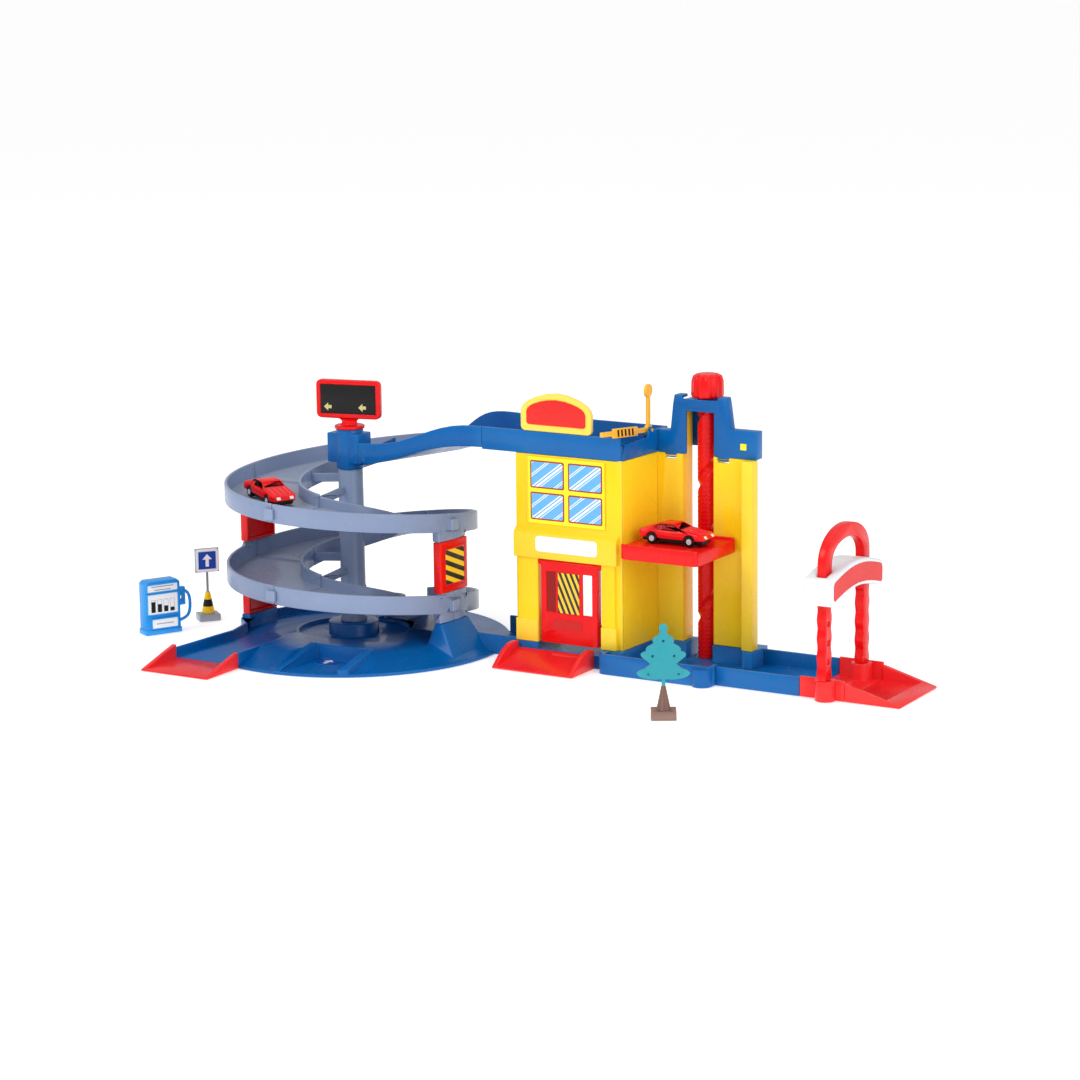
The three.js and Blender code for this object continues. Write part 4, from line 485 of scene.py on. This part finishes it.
def put(mesh, place, turn=0.0, tilt=0.0):
    """Leans a mesh in its own face, turns it about the upright, and sets it in its place."""
    spin = Matrix.Rotation(turn, 4, "Z") @ Matrix.Rotation(tilt, 4, "Y")
    bmesh.ops.transform(mesh, matrix=Matrix.Translation(place) @ spin, verts=mesh.verts)
    return mesh


def rim(width, height, line, depth, corner):
    """A thin frame: a tile with its middle cut away."""
    mesh = tile(width, height, depth, corner, 0)
    flat = [face for face in mesh.faces if abs(face.normal.y) > 0.9]
    bmesh.ops.inset_individual(mesh, faces=flat, thickness=line, use_even_offset=True)
    loops = [side for face in flat for side in face.edges]
    bmesh.ops.delete(mesh, geom=flat, context="FACES_ONLY")
    bmesh.ops.bridge_loops(mesh, edges=loops)
    bmesh.ops.recalc_face_normals(mesh, faces=mesh.faces[:])
    soften(mesh, sheet_edge, 40, 1)
    return mesh


def cover(node, facing, level, margin, depth, corner=0.0):
    """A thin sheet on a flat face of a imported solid, its outline inside the face by a margin."""
    mesh = packed_mesh(node)
    away = [
        face for face in mesh.faces
        if face.normal.dot(facing) < 0.999 or abs(face.calc_center_median().dot(facing) - level) > 0.0002
    ]
    bmesh.ops.delete(mesh, geom=away, context="FACES")
    join_flat_faces(mesh, 1)
    if margin:
        bmesh.ops.inset_region(
            mesh, faces=mesh.faces[:], thickness=margin, use_boundary=True, use_even_offset=True
        )
        ring = [face for face in mesh.faces if any(side.is_boundary for side in face.edges)]
        bmesh.ops.delete(mesh, geom=ring, context="FACES")
    push_out(mesh, mesh.faces[:], facing * depth)
    if corner:
        through = [
            side for side in mesh.edges
            if abs((side.verts[0].co - side.verts[1].co).normalized().dot(facing)) > 0.9
            and side.calc_face_angle(0) > math.radians(40)
        ]
        round_edges(mesh, through, corner, 5, True)
    return mesh


def printed(name, steps, period, angle, about, shift=0.0):
    """Printed bands: steps of colour that repeat across a sheet, at an angle in its plane."""
    finish = Finish(name)
    across = finish.along(angle, about)["Y" if about == "X" else "X"]
    place = finish.math("FRACT", finish.math("ADD", finish.math("DIVIDE", across, period), shift))
    ramp = finish.nodes.new("ShaderNodeValToRGB")
    ramp.color_ramp.interpolation = "CONSTANT"
    while len(ramp.color_ramp.elements) < len(steps):
        ramp.color_ramp.elements.new(1)
    for stop, (start, colour) in zip(ramp.color_ramp.elements, steps):
        stop.position = start
        stop.color = colour
    finish.join(place, ramp.inputs["Fac"])
    dust = finish.spread(finish.noise(60, 2), 0.3, 0.7, 0.0, 0.06)
    ink = finish.blend(dust, ramp.outputs["Color"], shade(200, 200, 200))
    finish.join(ink, finish.shader.inputs["Base Color"])
    finish.give(Roughness=0.3, Specular_IOR_Level=0.3, Coat_Weight=0.15)
    finish.relief(finish.noise(700, 2), 0.00004, 0.3)
    return finish.material


bright_yellow = moulded_plastic("window_yellow", (255, 240, 20), (255, 234, 8), (255, 250, 120))
line_red = moulded_plastic("window_line", (170, 34, 12), (156, 26, 8), (200, 70, 40))
tag_red = moulded_plastic("tag_red", (206, 16, 22), (192, 10, 16), (240, 70, 60))
sign_red = moulded_plastic("sign_red", (222, 10, 14), (210, 4, 8), (250, 70, 60))
# A dark red for a window's recess: painted shade.
recess_shade_red = moulded_plastic("recess_shade_red", (136, 0, 0), (120, 0, 0), (170, 20, 20))
sheet_white = moulded_plastic("sheet_white", (250, 250, 250), (242, 243, 244), (255, 255, 255))
khaki = moulded_plastic("arrow_khaki", (202, 192, 124), (190, 180, 112), (226, 218, 160))
sign_blue = moulded_plastic("sign_blue", (0, 58, 160), (0, 50, 148), (50, 110, 200))
silver = moulded_plastic("hub_silver", (200, 204, 208), (180, 184, 190), (240, 242, 244), 0.25)
white = shade(245, 250, 255)
sky = shade(98, 178, 248)
pane_glass = printed(
    "pane_glass",
    [(0, sky), (0.1, white), (0.13, sky), (0.17, white), (0.2, sky), (0.5, white), (0.55, sky), (0.6, white),
     (0.68, sky), (0.73, white), (0.76, sky)],
    0.0242, math.radians(52.9), "Y", 0.15,
)
night = shade(16, 14, 16)
hazard = shade(252, 206, 30)
door_stripes = printed("door_stripes", [(0, hazard), (0.5, night)], 0.0056, math.radians(-24), "Y")
panel_stripes = printed("panel_stripes", [(0, hazard), (0.5, night)], 0.0092, math.radians(68), "X")
garage = "garage"
thin_sheet = 0.0002
thick_sheet = 0.0003

# Window: a printed sheet with four panes, each on a line of its own
window_middle = (0.2405, 0.0108, 0.1692)
pane_columns = (0.2195, 0.2615)
pane_rows = (0.1848, 0.1538)
finish_piece(put(tile(0.0845, 0.065, 0.00025, 0.001), window_middle),
             "window_sheet", bright_yellow, garage)
for number, (z, x) in enumerate((z, x) for z in pane_rows for x in pane_columns):
    finish_piece(put(tile(0.0375, 0.027, thin_sheet, 0.002), (x, 0.01055, z)),
                 f"pane_line_{number}", line_red, garage)
    finish_piece(put(tile(0.0347, 0.0242, thin_sheet, 0.0014), (x, 0.01035, z)),
                 f"pane_{number}", pane_glass, garage)

# Front: the bare white plate over the door
finish_piece(put(tile(0.068, 0.0152, thick_sheet, 0.0035), (0.2424, 0.006, 0.1178)),
             "name_plate", sheet_white, garage)

# Door: stripes in the left window, a dark red sheet of painted shade in the right window, and a bare tag
door_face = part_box("garage_door")[0][1]
door_panes = 0.071
finish_piece(put(tile(0.0236, 0.0396, thin_sheet), (0.24375, door_face, door_panes)),
             "door_stripe_sheet", door_stripes, "garage_door")
# A dark red sheet in a door window: painted shade of the recess behind it.
finish_piece(put(tile(0.0102, 0.0394, thin_sheet), (0.22365, 0.00984, door_panes)),
             "door_recess_shade_pane", recess_shade_red, "garage_door")
finish_piece(put(tile(0.033, 0.0095, thick_sheet, 0.002), (0.2422, door_face + 0.0006, 0.0395)),
             "door_tag", tag_red, "garage_door")

# Arched sign and gate board: bare red panels
sign_panel_face = -0.013
finish_piece(cover("arched_sign", ahead, sign_panel_face, 0, 0.0004),
             "arched_sign_panel", sign_red, garage)
board_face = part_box("gate_board")[1][0]
finish_piece(cover("gate_board", to_right, board_face, 0.0034, thick_sheet, 0.004),
             "gate_board_panel", sign_red, garage)

# Right support: diagonal stripes in a red frame
support_low, support_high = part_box("support_right")
support_turn = math.radians(-4)
panel_reach = 0.1258
frame_line = 0.0165
panel_height = support_high[2] - support_low[2] - frame_line
panel_place = (
    panel_reach * math.cos(support_turn),
    panel_reach * math.sin(support_turn),
    (support_high[2] + support_low[2]) / 2,
)
finish_piece(put(tile(0.03, panel_height, thick_sheet, 0.0008), panel_place, support_turn + math.pi / 2),
             "support_stripe_sheet", panel_stripes, garage)


def beside(turn, x, proud, z):
    """A step to the right, out of the face and up, for a face that is turned about the upright."""
    step = Vector((x, -proud, z))
    step.rotate(Matrix.Rotation(turn, 3, "Z"))
    return step


# Exit sign: two plain arrows to the left
sign_turn = math.radians(12)
sign_middle = Vector((-0.001, 0, 0.2363))
sign_proud = 0.0037
arrow_left = [(-4, 0), (0.4, 4), (0.4, 1.6), (4, 1.6), (4, -1.6), (0.4, -1.6), (0.4, -4)]
for number, x in enumerate((-0.0202, 0.0161)):
    place = sign_middle + beside(sign_turn, x, sign_proud, 0)
    finish_piece(put(arrow_sheet(arrow_left, thick_sheet), place, sign_turn),
                 f"exit_arrow_{number}", khaki, garage)

# Cars: bright hubs, lamps, and ribs along the bonnet
lamp_white = moulded_plastic("lamp_white", (236, 236, 228), (222, 222, 214), (255, 255, 255), 0.15)
rib_red = moulded_plastic("rib_red", (250, 40, 50), (240, 26, 38), (255, 120, 120), 0.2)
wheel_face = 0.0136
hub_radius = 0.0029
hub_depth = 0.0006
rib_half = Vector((0.0095, 0.0009, 0.0005))
rib_sides = (-0.0078, -0.0026, 0.0026, 0.0078)
bonnet_x, bonnet_height, bonnet_slope = 0.0215, 0.0081, 0.18
lamp_half = Vector((0.0016, 0.002, 0.0004))
lamp_sides = (-0.007, 0.007)
nose_x, nose_height, nose_slope = 0.0345, 0.0042, 0.86


def hub(radius, depth):
    """A wheel's bright middle: a disc that faces the side, with a raised rim and a sunk centre."""
    mesh = bmesh.new()
    bmesh.ops.create_cone(
        mesh, cap_ends=True, segments=24, radius1=radius, radius2=radius * 0.9, depth=depth
    )
    top = [face for face in mesh.faces if face.normal.z > 0.9]
    bmesh.ops.inset_individual(mesh, faces=top, thickness=radius * 0.28)
    bmesh.ops.translate(mesh, vec=(0, 0, -depth * 0.5), verts=[spot for face in top for spot in face.verts])
    bmesh.ops.inset_individual(mesh, faces=top, thickness=radius * 0.3)
    bmesh.ops.translate(mesh, vec=(0, 0, depth * 0.45), verts=[spot for face in top for spot in face.verts])
    bmesh.ops.rotate(mesh, matrix=Matrix.Rotation(math.pi / 2, 3, "X"), verts=mesh.verts)
    return mesh


def wheel_direction(car):
    """The way an axle points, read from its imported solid: the longest way through its points."""
    low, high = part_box(f"{car}_rear_axle")
    middle = (Vector(low) + Vector(high)) / 2
    reaches = [spot.co - middle for spot in frame["nodes"][f"{car}_rear_axle"].data.vertices]
    far = max(reaches, key=lambda reach: reach.length)
    return sum((reach for reach in reaches if reach.dot(far) > 0), Vector((0, 0, 0))).normalized()


def dress_car(car):
    """Hubs, lamps and bonnet ribs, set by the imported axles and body."""
    axles = []
    for end in ("rear", "front"):
        low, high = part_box(f"{car}_{end}_axle")
        axles.append((Vector(low) + Vector(high)) / 2)
    forward = (axles[1] - axles[0]).normalized()
    across = wheel_direction(car)
    up = forward.cross(across)
    if up.z < 0:
        across = -across
        up = -up
    turned = Matrix((forward, across, up)).transposed().to_4x4()
    for end, axle in zip(("rear", "front"), axles):
        for side, side_name in ((-1, "right"), (1, "left")):
            mesh = hub(hub_radius, hub_depth)
            if side > 0:
                bmesh.ops.rotate(mesh, matrix=Matrix.Rotation(math.pi, 3, "Z"), verts=mesh.verts)
            bmesh.ops.translate(mesh, vec=(0, side * wheel_face, 0), verts=mesh.verts)
            bmesh.ops.transform(mesh, matrix=Matrix.Translation(axle) @ turned, verts=mesh.verts)
            finish_piece(mesh, f"{car}_{end}_hub_{side_name}", silver,
                         rides_on[f"{car}_{end}_axle"])
    place = Matrix.Translation((axles[0] + axles[1]) / 2) @ turned
    for name, half, reach, sides, x, height, slope, material, slot in (
        ("bonnet_rib", rib_half, 0.0004, rib_sides,
         bonnet_x, bonnet_height, bonnet_slope, rib_red, "car_red"),
        ("head_lamp", lamp_half, 0.0003, lamp_sides,
         nose_x, nose_height, nose_slope, lamp_white, "white"),
    ):
        for number, side in enumerate(sides):
            block = slab(-half, half, reach)
            leant = Matrix.Translation((x, side, height)) @ Matrix.Rotation(slope, 4, "Y")
            bmesh.ops.transform(block, matrix=place @ leant, verts=block.verts)
            finish_piece(block, f"{car}_{name}_{number}", material, rides_on[f"{car}_body"])


for car in ("lift_car", "ramp_car"):
    dress_car(car)

# Fuel pump: white labels with plain level bars
pump_turn = math.radians(62)
pump_foot = Vector((-0.186, -0.067, 0))
label_depth = 0.0012
rim_depth = 0.0016
rim_line = 0.0009
bars_foot = 0.0232
rule_height = 0.0009


def on_pump(mesh, x, z, proud, name, material):
    """Sets a sheet on the front of the pump."""
    place = pump_foot + beside(pump_turn, x, proud, z)
    finish_piece(put(mesh, place, pump_turn), name, material, "fuel_pump")


for number, (x, z, width, height) in enumerate(
    ((-0.001, 0.0478, 0.033, 0.0072), (-0.001, 0.0314, 0.033, 0.0205), (0.001, 0.0112, 0.028, 0.0092))
):
    on_pump(tile(width, height, label_depth, 0.0006, 0.0003), x, z, 0,
            f"pump_label_{number}", sheet_white)
    on_pump(rim(width + 2 * rim_line, height + 2 * rim_line, rim_line, rim_depth, 0.0008), x, z, 0,
            f"pump_label_rim_{number}", pump_plastic)
for number, height in enumerate((0.011, 0.0082, 0.006, 0.0038)):
    x = -0.0115 + 0.007 * number
    on_pump(tile(0.0042, height, thin_sheet, 0.0003, 0), x, bars_foot + height / 2, label_depth,
            f"pump_level_bar_{number}", black_plastic)
    on_pump(rim(0.005, 0.0128, 0.0003, 0.00018, 0.0004), x, bars_foot + 0.0064, label_depth,
            f"pump_level_frame_{number}", stone_plastic)
for number, (x, z, width) in enumerate(
    ((-0.001, 0.0495, 0.0245), (-0.001, 0.0461, 0.018), (0.001, 0.0112, 0.019))
):
    on_pump(tile(width, rule_height, thin_sheet, thin_sheet, 0), x, z, label_depth,
            f"pump_rule_{number}", stone_plastic)

# Parking sign: a white border, a blue square and a plain arrow
parking_turn = math.radians(50)
parking_foot = Vector((-0.184, 0.006, 0.0625))
arrow_up = [(0, 6.5), (5, 1), (1.7, 1), (1.7, -6.5), (-1.7, -6.5), (-1.7, 1), (-5, 1)]
for mesh, proud, name, material, slot in (
    (tile(0.0236, 0.0236, 0.0004, 0.0022), 0.0012, "parking_border", sheet_white, "white"),
    (tile(0.0182, 0.0182, thin_sheet, 0.0006, 0), 0.0016, "parking_square", sign_blue, "pump_blue"),
    (arrow_sheet(arrow_up, thin_sheet), 0.0018, "parking_arrow", sheet_white, "white"),
):
    place = parking_foot + beside(parking_turn, 0, proud, 0)
    finish_piece(put(mesh, place, parking_turn), name, material, "parking_sign")

# Bay mark on the base: the same arrow on a dark blue square, laid flat
bay_turn = Matrix.Rotation(math.radians(-90), 4, "X")
bay_x, bay_y, bay_floor = 0.036, -0.1, 0.003
for mesh, lift, name, material, slot in (
    (tile(0.021, 0.016, thick_sheet, 0.001, 0), 0, "bay_square", sign_blue, "base_blue"),
    (arrow_sheet(arrow_up, thick_sheet), thick_sheet, "bay_arrow", sheet_white, "white"),
):
    place = Matrix.Translation((bay_x, bay_y, bay_floor + lift))
    bmesh.ops.transform(mesh, matrix=place @ bay_turn, verts=mesh.verts)
    finish_piece(mesh, name, material, garage)

# Lift: a yellow peg on the band, and clip tongues in the slots of the walls
finish_piece(slab((0.394, 0.0755, 0.2128), (0.4002, 0.0775, 0.219), 0.0004),
             "band_peg", bright_yellow, garage)
tongue_half = 0.0052
for side, middle_x in (("left", 0.3185), ("right", 0.375)):
    low = (middle_x - tongue_half, 0.0774, 0.1997)
    high = (middle_x + tongue_half, 0.0794, 0.2009)
    tongue = slab(low, high, 0.0002)
    finish_piece(tongue, f"clip_tongue_{side}", blue_plastic, garage)


# Floor, half a millimetre under the garage
floor_mesh = bmesh.new()
bmesh.ops.create_grid(floor_mesh, x_segments=1, y_segments=1, size=40)
floor_data = bpy.data.meshes.new("pale_floor")
floor_mesh.to_mesh(floor_data)
floor_mesh.free()
floor_paint = bpy.data.materials.new("floor_paint")
floor_paint.use_nodes = True
floor_shader = floor_paint.node_tree.nodes["Principled BSDF"]
floor_shader.inputs["Base Color"].default_value = (0.93, 0.93, 0.93, 1)
floor_shader.inputs["Roughness"].default_value = 0.7
floor_shader.inputs["Emission Color"].default_value = (1, 1, 1, 1)
floor_shader.inputs["Emission Strength"].default_value = 0.4
floor_data.materials.append(floor_paint)
floor = bpy.data.objects.new("pale_floor", floor_data)
floor.location.z = -0.0005
bpy.context.scene.collection.objects.link(floor)
